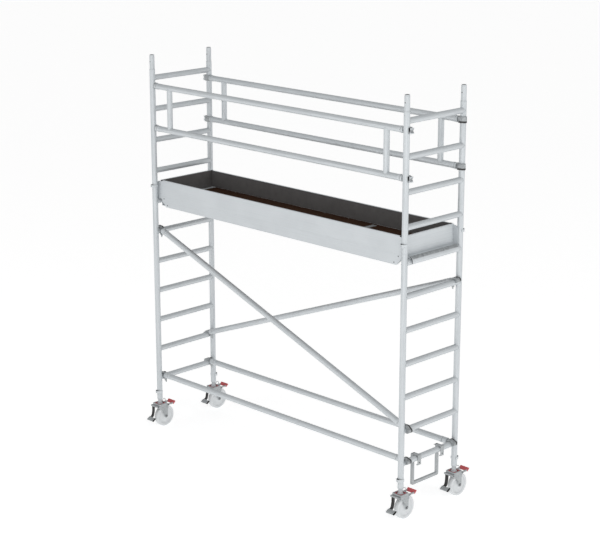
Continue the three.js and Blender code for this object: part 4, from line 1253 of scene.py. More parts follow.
    def wheel(self) -> None:
        """The moulded wheel: crowned tread, dished web, hub and seals."""
        r, hub = self.wheel_radius, self.hub_half
        tread, web = 0.023, 0.0148
        half = near((self.axle_radius, -hub), (0.6, 0)) + near((0.0, -hub), (18.5, 0), (20, 1.2))
        half += near((0.0, -web), (20.6, -3), (24.5, 0)) + near((r, -web), (-34, 1.2), (-26, -0.5))
        half += near((r, -tread), (-23.5, 1.2), (-22, 0), (-8.5, 0), (-4.5, 0.6), (-1.8, 3), (-0.5, 9))
        half += near((r, 0.0), (0, -4))
        profile = half + [(a, -b) for a, b in reversed(half)]
        shape = Shape(Metal.NYLON)
        place = axes(self.axle, Y, Z)
        shape.lathe(profile, place, 72, ring=True)
        shape.of(Metal.DARK)
        for way in (-1, 1):
            seal = axes(self.axle + Vector((way * (hub - 0.0006), 0, 0)), Y, (0, 0, way))
            bore = near((self.axle_radius, 0.0), (1, -4), (1, 0))
            shape.lathe(bore + near(CENTRE, (15.5, 0), (16.5, -0.4), (16.5, -4)), seal, 40, ring=True)
        name, node = f"{self.node}_moulded_wheel", f"{self.node}_wheel"
        shape.piece(name, self.bodies["wheel"], "wheel_nylon", [node], 0.0, 40.0)
        marks, ring = [], 0.038
        for k in range(3):
            a = math.radians(90 + 120 * k)
            for way in (-1, 1):
                spot = Vector((way * (web - 0.0002), ring * math.cos(a), ring * math.sin(a)))
                marks.append((self.axle + spot, Vector((way, 0, 0))))
        name = f"{self.node}_mould_marks"
        self.rules.rivets(name, marks, Metal.NYLON, 0.0042, 0.0013, self.bodies["wheel"])

    def pedal(self) -> None:
        """The brake pedal: a cranked arm, and a grip plate with an end cap."""
        node = f"{self.node}_brake_pedal"
        low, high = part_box(node)
        body = self.bodies["pedal"]
        pivot_y = self.y - self.half - self.pivot_reach
        shape = self._barrel(-1)
        tyre = self.axle.y - self.wheel_radius
        knee = Vector((tyre - 0.023, self.axle.z + 0.016))
        tip = Vector((low.y + 0.004, low.z + 0.002))
        slope = (knee.y - tip.y) / (knee.x - tip.x)
        mid_z = (self.pivot_z + knee.y) / 2
        foot = Vector((tip.x + 0.03, tip.y + 0.03 * slope))
        pivot, middle = (pivot_y, self.pivot_z), (pivot_y, mid_z)
        arm = near(pivot, (-8, 0)) + near(middle, (-8.5, 0)) + near(knee, (0, 7))
        arm += near(foot, (0, 7), (0, 0)) + near(knee, (4, 0)) + near(middle, (-1, 0)) + near(pivot, (2, 0))
        plane = axes((self.x, 0, 0), Y, Z)
        outline = rounded(arm, 0.006, 5)
        shape.of(Metal.DARK).extrude(outline, -0.036, -0.030, plane)
        shape.extrude(outline, -0.012, -0.006, plane)
        web = near(pivot, (-3.5, -4)) + near(middle, (-5, 0)) + near(knee, (2, 4.5))
        web += near(foot, (0, 4.5), (0, 2)) + near(knee, (3, 2))
        web += near(middle, (-2.5, 0)) + near(pivot, (-1, -4))
        shape.extrude(rounded(web, 0.004, 4), -0.031, -0.011, plane)
        shape.piece(f"{self.node}_pedal_arm", body, "dark_steel", [node], 0.0006)

        plate, cap = Shape(Metal.ZINC), Shape(Metal.BLACK)
        wide, cap_width, grip = (high.x - low.x) / 2, 0.012, 0.0135
        heel = (foot.x, foot.y + slope * MM)
        pad = near(heel, (1, 7)) + near(tip, (0, 8.5), (-4, 2), (0, -2)) + near(heel, (1, 0))
        pad = rounded(pad, 0.0022, 4)
        plate.extrude(pad, -wide, wide - cap_width, plane)
        plate.piece(f"{self.node}_foot_plate", body, "zinc_steel", (), 0.0006)
        cap.extrude(pad, wide - cap_width + 0.0002, wide, plane)
        cap.piece(f"{self.node}_foot_cap", body, "dark_steel", (), 0.0008)
        start = Vector((self.x - wide + 0.004, tip.x + grip, tip.y + 0.0078 + grip * slope))
        self.rules.rib_row(f"{self.node}_foot_grip", body, "zinc_steel", Metal.ZINC, {
            "Count": 12, "Start": start, "Step": Vector((0.0062, 0, 0)), "Along": Vector((0, 1, slope)),
            "Radius": 0.0011, "Length": 0.022,
        })

    def lever(self) -> None:
        """The release lever: two light arms and a ribbed red sleeve."""
        node = f"{self.node}_release_lever"
        low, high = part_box(node)
        body = self.bodies["lever"]
        pivot_y = self.y + self.half + self.pivot_reach
        plane = axes((self.x, 0, 0), Y, Z)
        shape, reach = self._barrel(1), self.half - 0.0065
        tip = Vector((high.y, high.z - 0.008))
        heel = Vector((tip.x - 0.026, tip.y - 0.024))
        pivot = (pivot_y, self.pivot_z)
        arm = near(pivot, (-4, -6)) + near((heel.x, self.pivot_z), (-2, -9), (10, 3)) + near(pivot, (0, 6))
        arm = rounded(arm, 0.003, 4)
        gap = 0.034
        for x0 in (-reach, gap):
            shape.extrude(arm, x0, x0 + reach - gap, plane)
        shape.piece(f"{self.node}_lever_arms", body, "zinc_steel", [node], 0.0006)

        sleeve = Shape(Metal.RED)
        wide = (high.x - low.x) / 2
        thick = Vector((-0.009, 0.008))
        pad = rounded([tuple(heel + thick), tuple(heel), tuple(tip), tuple(tip + thick)], 0.0035, 5)
        sleeve.extrude(pad, -wide, wide, plane)
        sleeve.piece(f"{self.node}_red_sleeve", body, "red_plastic", (), 0.0012)
        normal = Vector((0, -(tip.y - heel.y), tip.x - heel.x)).normalized()
        middle = Vector((0, (heel.x + tip.x) / 2 - 0.0045, (heel.y + tip.y) / 2 + 0.004))
        start = Vector((self.x - wide + 0.008, 0, 0)) + middle + normal * 0.0054
        along = Vector((0, tip.x - heel.x, tip.y - heel.y))
        self.rules.rib_row(f"{self.node}_sleeve_ribs", body, "red_plastic", Metal.RED, {
            "Count": 13, "Start": start, "Step": Vector((0.00617, 0, 0)), "Along": along,
            "Radius": 0.0012, "Length": 0.024,
        })

    def build(self) -> None:
        """Make the caster's pieces."""
        self.stem()
        self.housing()
        self.wheel()
        self.pedal()
        self.lever()


@dataclass
class Claw:
    """A cast claw: a sleeve on the tube, a jaw round another tube, and a nose or two fingers.

    Its place has X out along the tube, Y towards the jaw's back and Z along the gripped tube.
    """

    place: Matrix
    tube_offset: float
    jaw_wall: float
    height: float
    reach: float
    socket_start: float
    tube_radius: float = 0.025
    clearance: float = 0.0009
    lip: float = 0.008
    heel: float = 0.015
    forked: bool = False
    band: float = 0.0032
    shade_band_width: float = 0.014
    slot_half: float = 0.0
    slot_top: float = 0.007
    slot_back: float = 0.056

    def add_to(self, shape: Shape) -> None:
        """Add the claw's shells.

        Args:
            shape: The shape that takes them.
        """
        bore, outer = self.tube_radius + self.clearance, self.tube_radius + self.jaw_wall
        low, high = -self.height / 2, self.height / 2
        lip, inner_lip = (math.degrees(math.asin(self.lip / r)) for r in (outer, bore))
        heel, inner_heel = (math.degrees(math.asin(self.heel / r)) for r in (outer, bore))
        grip = arc((0, 0), bore, 180 + inner_heel, -inner_lip, 40)
        shape.of(Metal.CAST)
        if self.forked:
            jaw = arc((0, 0), outer, -lip, 180 + heel, 40) + grip
            shape.extrude(jaw, low, high, self.place)
            self._fingers(shape, bore + 0.0012, low, high)
        else:
            radius = (self.tube_radius + self.lip + 0.008) / 2
            nose = arc((self.reach - radius, radius - self.lip), radius, -90, 62, 18)
            back = arc((0, 0), outer, 55, 180 + heel, 30)
            full = nose + back + grip
            if self.slot_half:
                stop, inner_stop = (180 - math.degrees(math.asin(self.slot_top / r)) for r in (outer, bore))
                short = nose + arc((0, 0), outer, 55, stop, 30)
                short += arc((0, 0), bore, inner_stop, -inner_lip, 40)
                near, far = self.slot_half, self.slot_half + 0.003
                heights = (low, -far, -near, near, far, high)
                shape.loft(tuple(zip((full, full, short, short, full, full), heights)), self.place)
            else:
                shape.extrude(full, low, high, self.place)
            # A dark band round the rim of the nose and back, on the jaw's end that faces down or back, away
            # from the lamps: painted shade.
            rim = nose[5:] + back[:12]
            cover = [(x * 1.012, y * 1.012) for x, y in rim]
            shrink = 1 - 2 * self.band / outer
            inset = [(x * shrink, y * shrink) for x, y in rim]
            # The painted shade goes on whichever end of the jaw points down or back.
            way = self.place.to_3x3() @ Vector((0, 0, 1))
            shaded_end_span = (high - self.shade_band_width, high + 0.0006)
            if way.y - way.z < 0:
                shaded_end_span = (low - 0.0006, low + self.shade_band_width)
            shape.of(Metal.DARK).extrude(cover + inset[::-1], *shaded_end_span, self.place)
        self._sleeve(shape, outer)

    def _fingers(self, shape: Shape, start: float, low: float, high: float) -> None:
        """The two light fingers beyond the gripped tube, with a round bite between them whose face has a
        darker skin, painted shade.
        """
        centre, bite = (self.reach + 0.001, 0), self.height * 0.3
        tip, shoulder = self.reach - 0.002, self.reach - 0.007
        outline = [(start, low), (shoulder, low + 0.001), (tip, low + 0.005)]
        outline += arc(centre, bite, 252, 108, 14)
        outline += [(tip, high - 0.005), (shoulder, high - 0.001), (start, high)]
        turn = self.place @ quarter_turn("X")
        shape.of(Metal.PROFILE_Y).extrude(outline, -self.tube_radius, self.lip, turn)
        # A darker skin on the bite's curved face: painted shade in the bite.
        bite_shade_skin = arc(centre, bite + 0.0002, 118, 242, 12) + arc(centre, bite - 0.0012, 242, 118, 12)
        shape.of(Metal.CAST).extrude(bite_shade_skin, -self.tube_radius - 0.0003, self.lip + 0.0003, turn)

    def _sleeve(self, shape: Shape, outer: float) -> None:
        """The light sleeve on the tube's end, with a waist groove whose bottom has a dark ring, painted
        shade.
        """
        way = self.place @ Matrix.Translation((0, self.tube_offset, 0)) @ quarter_turn("Y")
        r, start, end = self.tube_radius + 0.0016, -self.socket_start, -(outer - 0.006)
        if self.slot_half:
            edge = 90 - math.degrees(math.asin(self.slot_half / r))
            collar = arc((0, self.tube_offset), r, -edge, 180 + edge, 36)
            collar += [(-self.slot_half, self.slot_top), (self.slot_half, self.slot_top)]
            turn = self.place @ axes(ORIGIN, Z, Y)
            shape.of(Metal.PROFILE_Y).extrude(collar, -end, self.slot_back + 0.0005, turn)
            end = -self.slot_back
        waist = ((0, 24), (-1.2, 24.8), (-1.2, 26.8), (0, 27.6))
        profile = [(0.0, start), *near((r, start), (-0.8, 0), (0, 1), *waist), (r, end), (0.0, end)]
        shape.of(Metal.PROFILE_Y).lathe(profile, way, 40)
        # A dark ring at the bottom of the waist groove: painted shade in the groove.
        groove = near((r, start), (-1.3, 24.7), (-0.9, 25.1), (-0.9, 26.5), (-1.3, 26.9))
        shape.of(Metal.DARK).lathe(groove, way, 40, ring=True)


@dataclass
class Guardrail:
    """A double guardrail: two rails, two struts, and a claw at each end of each rail."""

    rules: Rules
    side: str
    inset: float = 0.012
    strut_inset: float = 0.215
    tube_radius: float = 0.025
    jaw_height: float = 0.048
    jaw_wall: float = 0.018
    jaw_reach: float = 0.057
    nose_reach: float = 0.043
    lip: float = 0.008
    socket_length: float = 0.080
    rivet_inset: float = 0.058

    def build(self) -> None:
        """Make the rails with their struts, then the four claws."""
        node = f"guardrail_{self.side}"
        low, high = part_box(node)
        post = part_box("upper_frame_right")
        half_bay = (post[0].x + post[1].x) / 2
        half_width = post[1].y - self.tube_radius
        lower = low.z + self.tube_radius + 0.003
        upper = high.z - self.tube_radius - 0.003
        turn = half_turn(SIDES[self.side])
        y = -(half_width - self.inset)
        rail_end = half_bay - self.tube_radius - self.jaw_wall - 0.008
        lines = [(Vector((-rail_end, y, z)), Vector((rail_end, y, z))) for z in (lower, upper)]
        strut = half_bay - self.strut_inset
        struts = [
            (Vector((e * strut, y, lower + 0.012)), Vector((e * strut, y, upper - 0.012))) for e in (-1, 1)
        ]
        lines, struts = ([(turn @ a, turn @ b) for a, b in pair] for pair in (lines, struts))
        self.rules.tube_set(f"{node}_rails", lines, self.tube_radius, 0.0005, 24.0, [node])
        self.rules.tube_set(f"{node}_struts", struts, self.tube_radius - 0.0004, 0.0003, 16.0)
        claws, heads = Shape(Metal.CAST), []
        for z in (lower, upper):
            for e in (-1, 1):
                place = turn @ axes((e * half_bay, -half_width, z), (e, 0, 0), Y)
                forked = e > 0
                Claw(
                    place, self.inset, self.jaw_wall, self.jaw_height,
                    self.jaw_reach if forked else self.nose_reach, self.socket_length,
                    heel=self.lip, forked=forked,
                ).add_to(claws)
                middle = Vector((e * (half_bay - self.rivet_inset), y, z))
                for way in (-UP, UP, Vector((0, -1, 0))):
                    spot = middle + way * (self.tube_radius + 0.0028)
                    heads.append((turn @ spot, turn.to_3x3() @ way))
        claws.piece(f"{node}_claws", slot="aluminium_tube", bevel=0.0011)
        self.rules.rivets(f"{node}_claw_rivets", heads)
        self._strut_welds(node, struts)

    def _strut_welds(self, node: str, struts: Sequence[Line]) -> None:
        """The weld rings where the struts meet the rails."""
        welds = Shape(Metal.TUBE)
        for low, high in struts:
            for z, way in ((low.z + 0.0122, 1), (high.z - 0.0122, -1)):
                ring, r, steps = [], self.tube_radius, 48
                for i in range(steps):
                    a = TAU * i / steps
                    across = r * math.cos(a)
                    rise = math.sqrt(max(0.0, r ** 2 - (across * 0.985) ** 2)) - 0.0244
                    ring.append(Vector((low.x + r * math.sin(a), low.y + across, z + way * rise)))
                welds.wire(ring, 0.0021, 8, loop=True)
        welds.piece(f"{node}_strut_welds", slot="aluminium_tube")


@dataclass
class Brace:
    """A base tube or diagonal: a ribbed tube between two rung claws, with a latch in each."""

    rules: Rules
    kind: str
    side: str
    low_rung: int
    high_rung: int
    tube_radius: float = 0.025
    rise: float = 0.016
    jaw_wall: float = 0.016
    jaw_width: float = 0.044
    nose_reach: float = 0.052
    socket_length: float = 0.105
    standard_clearance: float = 0.003
    latch_half: float = 0.0048
    latch_bar: float = 0.011
    slot_half: float = 0.0066
    slot_back: float = 0.056

    def build(self) -> None:
        """Make the tube, the claws, the pivot pins and the latches."""
        node = f"{self.kind}_{self.side}"
        right = LadderFrame(self.rules, "lower", "right")
        low_z, high_z = right.rung_height(self.low_rung), right.rung_height(self.high_rung)
        bay = 2 * right.x
        tilt = math.atan2(high_z - low_z, bay)
        half = math.hypot(bay, high_z - low_z) / 2
        y = -(right.half - self.tube_radius - self.standard_clearance - self.jaw_width / 2)
        turn = half_turn(SIDES[self.side])
        base = turn @ Matrix.Translation((0, y, (low_z + high_z) / 2)) @ Matrix.Rotation(tilt, 4, "Y")
        reach = half - self.slot_back - 0.002
        line = (base @ Vector((-reach, 0, self.rise)), base @ Vector((reach, 0, self.rise)))
        self.rules.tube_set(f"{node}_tube", [line], self.tube_radius, 0.0006, 26.0, [node])
        claws, pins, heads = Shape(Metal.CAST), Shape(Metal.ZINC), []
        for end in (-1, 1):
            place = base @ axes((end * half, 0, 0), (end, 0, 0), (0, 0, 1))
            Claw(
                place, self.rise, self.jaw_wall, self.jaw_width, self.nose_reach, self.socket_length,
                slot_half=self.slot_half, slot_back=self.slot_back,
            ).add_to(claws)
            cheek_u = -(self.tube_radius + 0.0115)
            for way in (-1, 1):
                cheek = near((cheek_u, 0.0), (-9, 10), (-9, -10), (5, -14.5), (9.5, -9), (9.5, 10))
                cheek = rounded(cheek, 0.004, 4)
                side = (0.0066, 0.0122) if way > 0 else (-0.0122, -0.0066)
                claws.of(Metal.CAST).extrude(cheek, *side, place)
            pin = place @ Matrix.Translation((cheek_u, -0.002, 0))
            half_pin = near(
                CENTRE, (0, 5.2), (2.6, 5.2), (2.6, 12.2), (5.8, 12.4), (5.8, 13.4), (5.2, 14.2), (0, 14.2)
            )
            for turn_over in (0.0, math.pi):
                pins.lathe(half_pin, pin @ Matrix.Rotation(turn_over, 4, "X"), 24)
            for way in (-1, 1):
                spot = Vector((-0.084, self.rise, way * (self.tube_radius + 0.0026)))
                heads.append((place @ spot, place.to_3x3() @ Vector((0, 0, way))))
            self._latch(node, place, base, end)
        claws.piece(f"{node}_claws", slot="aluminium_tube", bevel=0.0011)
        pins.piece(f"{node}_latch_pins", slot="zinc_steel")
        self.rules.rivets(f"{node}_claw_rivets", heads)

    def _latch(self, node: str, place: Matrix, base: Matrix, end: int) -> None:
        """The latch lever that hangs from its pin and hooks under the rung.

        Args:
            node: The brace's node.
            place: The claw's place.
            base: The brace's place; not used.
            end: Which end of the brace it is.
        """
        local = "right" if end > 0 else "left"
        flipped = {"left": "right", "right": "left"}
        name = f"{node}_latch_{local if SIDES[self.side] < 0 else flipped[local]}"
        pivot, r, bar = -(self.tube_radius + 0.0115), self.tube_radius, self.latch_bar / 2
        drop, eye_z = 0.052, -0.002
        outline = arc((pivot, eye_z), bar, 0, 180, 14)
        tail = near((pivot - bar, eye_z), (0, -12)) + near((pivot - bar, -drop), (0, 4)) + [(pivot, -drop)]
        tail += near((pivot + bar, -r), (-2, -13), (15, -9), (15, -4), (0, -2))
        outline += rounded(tail, 0.003, 4)
        shape = Shape(Metal.ZINC)
        shape.extrude(outline, -self.latch_half, self.latch_half, place)
        shape.piece(f"{name}_lever", name, "dark_steel", [name], 0.0009)


@dataclass
class Platform:
    """The platform: side beams, hooked end profiles, ply deck, hatch, ring and cross member."""

    rules: Rules
    wall: float = 0.004
    ledge: float = 0.023
    toe_thickness: float = 0.015
    deck_thickness: float = 0.012
    corner_cut: float = 0.055
    rung_radius: float = 0.025
    lip: float = 0.006
    lip_angle: float = -22.0
    hinge_gap: float = 0.003
    hook_radius: float = 0.040

    def beams(self) -> None:
        """The two extruded side beams, with their rivets and corner bolts."""
        heads = []
        for side, sign in SIDES.items():
            node = f"platform_beam_{side}"
            low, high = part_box(node)
            outer = max(abs(low.y), abs(high.y))
            bottom, top = low.z, high.z
            ledge_top = top - self.deck_thickness - 0.0003
            web, seat = outer - self.wall, outer - self.toe_thickness
            inner = web - self.ledge
            section = [
                (-outer, bottom), (-inner, bottom), (-inner, bottom + self.wall),
                (-web, bottom + self.wall),
                (-web, ledge_top - self.wall), (-inner, ledge_top - self.wall), (-inner, ledge_top),
                (-web, ledge_top), (-web, top - self.wall), (-seat, top - self.wall), (-seat, top),
                (-outer, top),
            ]
            turn = half_turn(sign)
            place = turn @ axes(ORIGIN, Y, Z)
            shape = Shape(Metal.PROFILE_X)
            cut, flange = self.corner_cut, 4
            raised = [(y, bottom + cut + 0.0006 * i) for i, (y, _) in enumerate(section[:flange])]
            raised += section[flange:]
            stations = (low.x, low.x + cut, high.x - cut, high.x)
            shape.loft(tuple(zip((raised, section, section, raised), stations)), place)
            shape.piece(f"{node}_profile", slot="aluminium_profile", replaces=[node], bevel=0.0007)
            face = -outer + 0.0002
            for x in (-1, 1):
                for z in (bottom + 0.018, top - 0.016):
                    inset = 0.075 if z < bottom + 0.03 else 0.03
                    spot = Vector((x * (high.x - inset), face, z))
                    heads.append((turn @ spot, turn.to_3x3() @ Vector((0, -1, 0))))
        self.rules.rivets("platform_beam_bolts", heads, Metal.DARK, 0.0052, 0.0024)

    def hooks(self) -> None:
        """The hooked end profiles, with ribs along the hook's back, and dark faces on both ends of the
        hook's wall, painted shade of the open profile ends.
        """
        frame_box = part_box("lower_frame_right")
        half_bay = (frame_box[0].x + frame_box[1].x) / 2
        for end, sign in ENDS.items():
            node = f"platform_hook_{end}"
            low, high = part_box(node)
            outer = self.hook_radius
            rung_z = high.z - outer
            inner = outer - self.lip
            seat = self.rung_radius + 0.0004
            seat_angle = math.degrees(math.asin(seat / inner))
            web, depth, plate = -self.rung_radius - 0.004, high.z - low.z, 0.088
            profile = [(-plate, outer), (0.0, outer)]
            profile += arc((0, 0), outer, 90, self.lip_angle, 26)[1:]
            profile += arc((0, 0), inner, self.lip_angle, seat_angle, 18)
            base, thick = outer - depth, 0.005
            profile += [
                (web, seat), (web, base), (-plate, base), (-plate, base + self.wall),
                (web - thick, base + self.wall), (web - thick, outer - thick), (-plate, outer - thick),
            ]
            place = axes((sign * half_bay, 0, rung_z), (sign, 0, 0), Z)
            half = high.y
            shape = Shape(Metal.PROFILE_Y)
            shape.extrude(profile, -half, half, place)
            shape.piece(f"{node}_profile", TOWER, "aluminium_profile", [node], 0.0006, 25.0)
            ribs = Shape(Metal.CAST)
            first, last, teeth = 88, 34, 9
            crest, root = [], []
            for index in range(2 * teeth + 1):
                a = math.radians(first + (last - first) * index / (2 * teeth))
                rise = outer + (0.0016 if index % 2 else 0.0003)
                crest.append((rise * math.cos(a), rise * math.sin(a)))
                root.append(((outer - 0.0006) * math.cos(a), (outer - 0.0006) * math.sin(a)))
            ribs.extrude(crest + root[::-1], -half + 0.001, half - 0.001, place)
            # Dark faces on both ends of the hook's wall: painted shade of the open profile ends.
            ribs.of(Metal.DARK)
            for way in (-1, 1):
                mouth = arc((0, 0), outer - 0.0005, self.lip_angle + 2, 80, 20)
                mouth += arc((0, 0), inner + 0.0005, 80, self.lip_angle + 2, 20)
                ribs.extrude(mouth, way * (half - 0.0008), way * (half + 0.0003), place)
            ribs.piece(f"{node}_grip_ribs_and_end_shade", slot="aluminium_profile")

    def _board(self, node: str, name: str, body: str, gap: float = 0.0) -> None:
        """A ply board with rounded edges in the place of its node, cut back by a gap for the hinge."""
        low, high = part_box(node)
        shape = Shape(Metal.PLY)
        corners = rounded(rectangle((low.x + gap, low.y), (high.x, high.y)), 0.004, 4)
        shape.extrude(corners, low.z, high.z, Matrix.Identity(4))
        shape.piece(name, body, "deck_ply", [node], 0.0009)

    def deck(self) -> None:
        """The deck boards, the hatch with its hinge, and the screws that hold them."""
        self._board("deck_panel_main", "deck_board_main", TOWER)
        self._board("deck_panel_end", "deck_board_end", TOWER)
        self._board("deck_hatch", "deck_hatch_board", "hatch", self.hinge_gap)
        screws = []
        for node in ("deck_panel_main", "deck_panel_end"):
            low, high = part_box(node)
            count = max(2, round((high.x - low.x) / 0.27))
            for side in (-1, 1):
                for i in range(count):
                    x = low.x + 0.035 + (high.x - low.x - 0.07) * i / (count - 1)
                    screws.append((Vector((x, side * (high.y - 0.014), high.z - 0.0002)), UP))
            for y in (-0.18, -0.06, 0.06, 0.18):
                edge = low.x + 0.03 if node == "deck_panel_main" else high.x - 0.03
                screws.append((Vector((edge, y, high.z - 0.0002)), UP))
        self.rules.rivets("deck_screws", screws, Metal.ZINC, 0.0048, 0.0009)
        low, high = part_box("deck_panel_main")
        trim = Shape(Metal.PROFILE_Y)
        x0, z0, z1 = low.x + 0.0004, high.z + 0.0001, high.z + 0.0014
        strip = rounded([(x0, z0), (x0, z1), (low.x + 0.026, z1), (low.x + 0.028, z0)], 0.0006, 3)
        trim.extrude(strip, -high.y, high.y, axes(ORIGIN, X, Z))
        trim.piece("deck_end_strip", slot="aluminium_profile")
        self._hinge()

    def _hinge(self) -> None:
        """A low piano hinge on the hatch's axis: knuckles by turns on each leaf, and the leaves."""
        hatch_low, hatch_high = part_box("deck_hatch")
        axis, top = Vector((hatch_low.x, 0, hatch_high.z)), hatch_high.z
        radius, reach, knuckles = self.hinge_gap - 0.0006, hatch_high.y - 0.03, 18
        leaf, thick, start = 0.026, 0.0012, self.hinge_gap + 0.0002
        fixed, moving = Shape(Metal.ZINC), Shape(Metal.ZINC)
        pitch = 2 * reach / knuckles
        level = Matrix.Translation((0, 0, top))
        for index in range(knuckles):
            low, high = -reach + index * pitch + 0.0004, -reach + (index + 1) * pitch - 0.0004
            shape, way = (fixed, -1) if index % 2 == 0 else (moving, 1)
            shape.lathe(
                [(0.0, low), (radius, low), (radius, high), (0.0, high)],
                axes((axis.x, 0, top), Z, X), 14,
            )
            x0, x1 = sorted((axis.x + way * 0.001, axis.x + way * (start + 0.001)))
            shape.extrude(rectangle((x0, low), (x1, high)), 0.0, thick, level)
        for shape, way in ((fixed, -1), (moving, 1)):
            x0, x1 = sorted((axis.x + way * start, axis.x + way * leaf))
            shape.extrude(rounded(rectangle((x0, -reach), (x1, reach)), 0.003), 0.0, thick, level)
        fixed.piece("hatch_hinge_leaf_fixed", TOWER, "zinc_steel", (), 0.0004)
        moving.piece("hatch_hinge_leaf_moving", "hatch", "zinc_steel", (), 0.0004)
        for name, body, way in (("fixed", TOWER, -1), ("moving", "hatch", 1)):
            x, pitch = axis.x + way * 0.015, 0.11
            places = [(Vector((x, i * pitch, top + thick)), UP) for i in range(-2, 3)]
            self.rules.rivets(f"hatch_hinge_rivets_{name}", places, Metal.DARK, 0.0036, 0.0011, body)

    def pull_ring(self) -> None:
        """The hatch's wire ring, and the staples that its feet turn in."""
        node = "hatch_pull_ring"
        low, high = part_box(node)
        radius = (high.z - low.z) / 2
        z = (high.z + low.z) / 2
        x0, x1, half = high.x - radius, low.x + radius, high.y - radius
        bend, small, foot = 0.012, 0.006, 0.018
        bends = (
            ((x0 - small, half - small), small, 0, 6), ((x1 + bend, half - bend), bend, 90, 8),
            ((x1 + bend, -half + bend), bend, 180, 8), ((x0 - small, -half + small), small, 270, 6),
        )
        path = [Vector((x0, half - foot, z))]
        for centre, r, start, steps in bends:
            path += [Vector((x, y, z)) for x, y in arc(centre, r, start, start + 90, steps)]
        path.append(Vector((x0, -half + foot, z)))
        ring = Shape(Metal.ZINC)
        ring.wire(path, radius, 16)
        ring.piece("hatch_ring_wire", "pull_ring", "zinc_steel", [node])
        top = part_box("deck_hatch")[1].z
        plates = Shape(Metal.ZINC)
        for way in (-1, 1):
            y = way * (half - foot * 0.55)
            base = rounded(rectangle((x0 - 0.006, y - 0.006), (x0 + 0.022, y + 0.006)), 0.003)
            plates.extrude(base, top, top + 0.0009, Matrix.Identity(4))
            wire, sunk = 0.0011, top + 0.0004
            loop = arc((x0, z), radius + wire, 0, 180, 12)
            loop = [(loop[0][0], sunk), *loop, (loop[-1][0], sunk)]
            plates.wire([Vector((x, y, height)) for x, height in loop], wire, 8)
        plates.piece("hatch_ring_staples", "hatch", "zinc_steel", (), 0.0003)

    def cross_member(self) -> None:
        """The box tube under the hatch's hinge."""
        node = "deck_cross_member"
        low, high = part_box(node)
        outer = rounded(rectangle((low.x, low.z), (high.x, high.z)), 0.003, 4)
        inner_low, inner_high = (low.x + 0.003, low.z + 0.003), (high.x - 0.003, high.z - 0.003)
        inner = rounded(rectangle(inner_low, inner_high), 0.0015, 4)
        shape = Shape(Metal.PROFILE_Y)
        ends = ((outer, low.y), (outer, high.y), (inner, high.y), (inner, low.y))
        shape.pipe(ends, axes(ORIGIN, X, Z))
        shape.piece("deck_cross_tube", slot="aluminium_profile", replaces=[node])

    def build(self) -> None:
        """Make the platform's pieces."""
        self.beams()
        self.hooks()
        self.deck()
        self.pull_ring()
        self.cross_member()


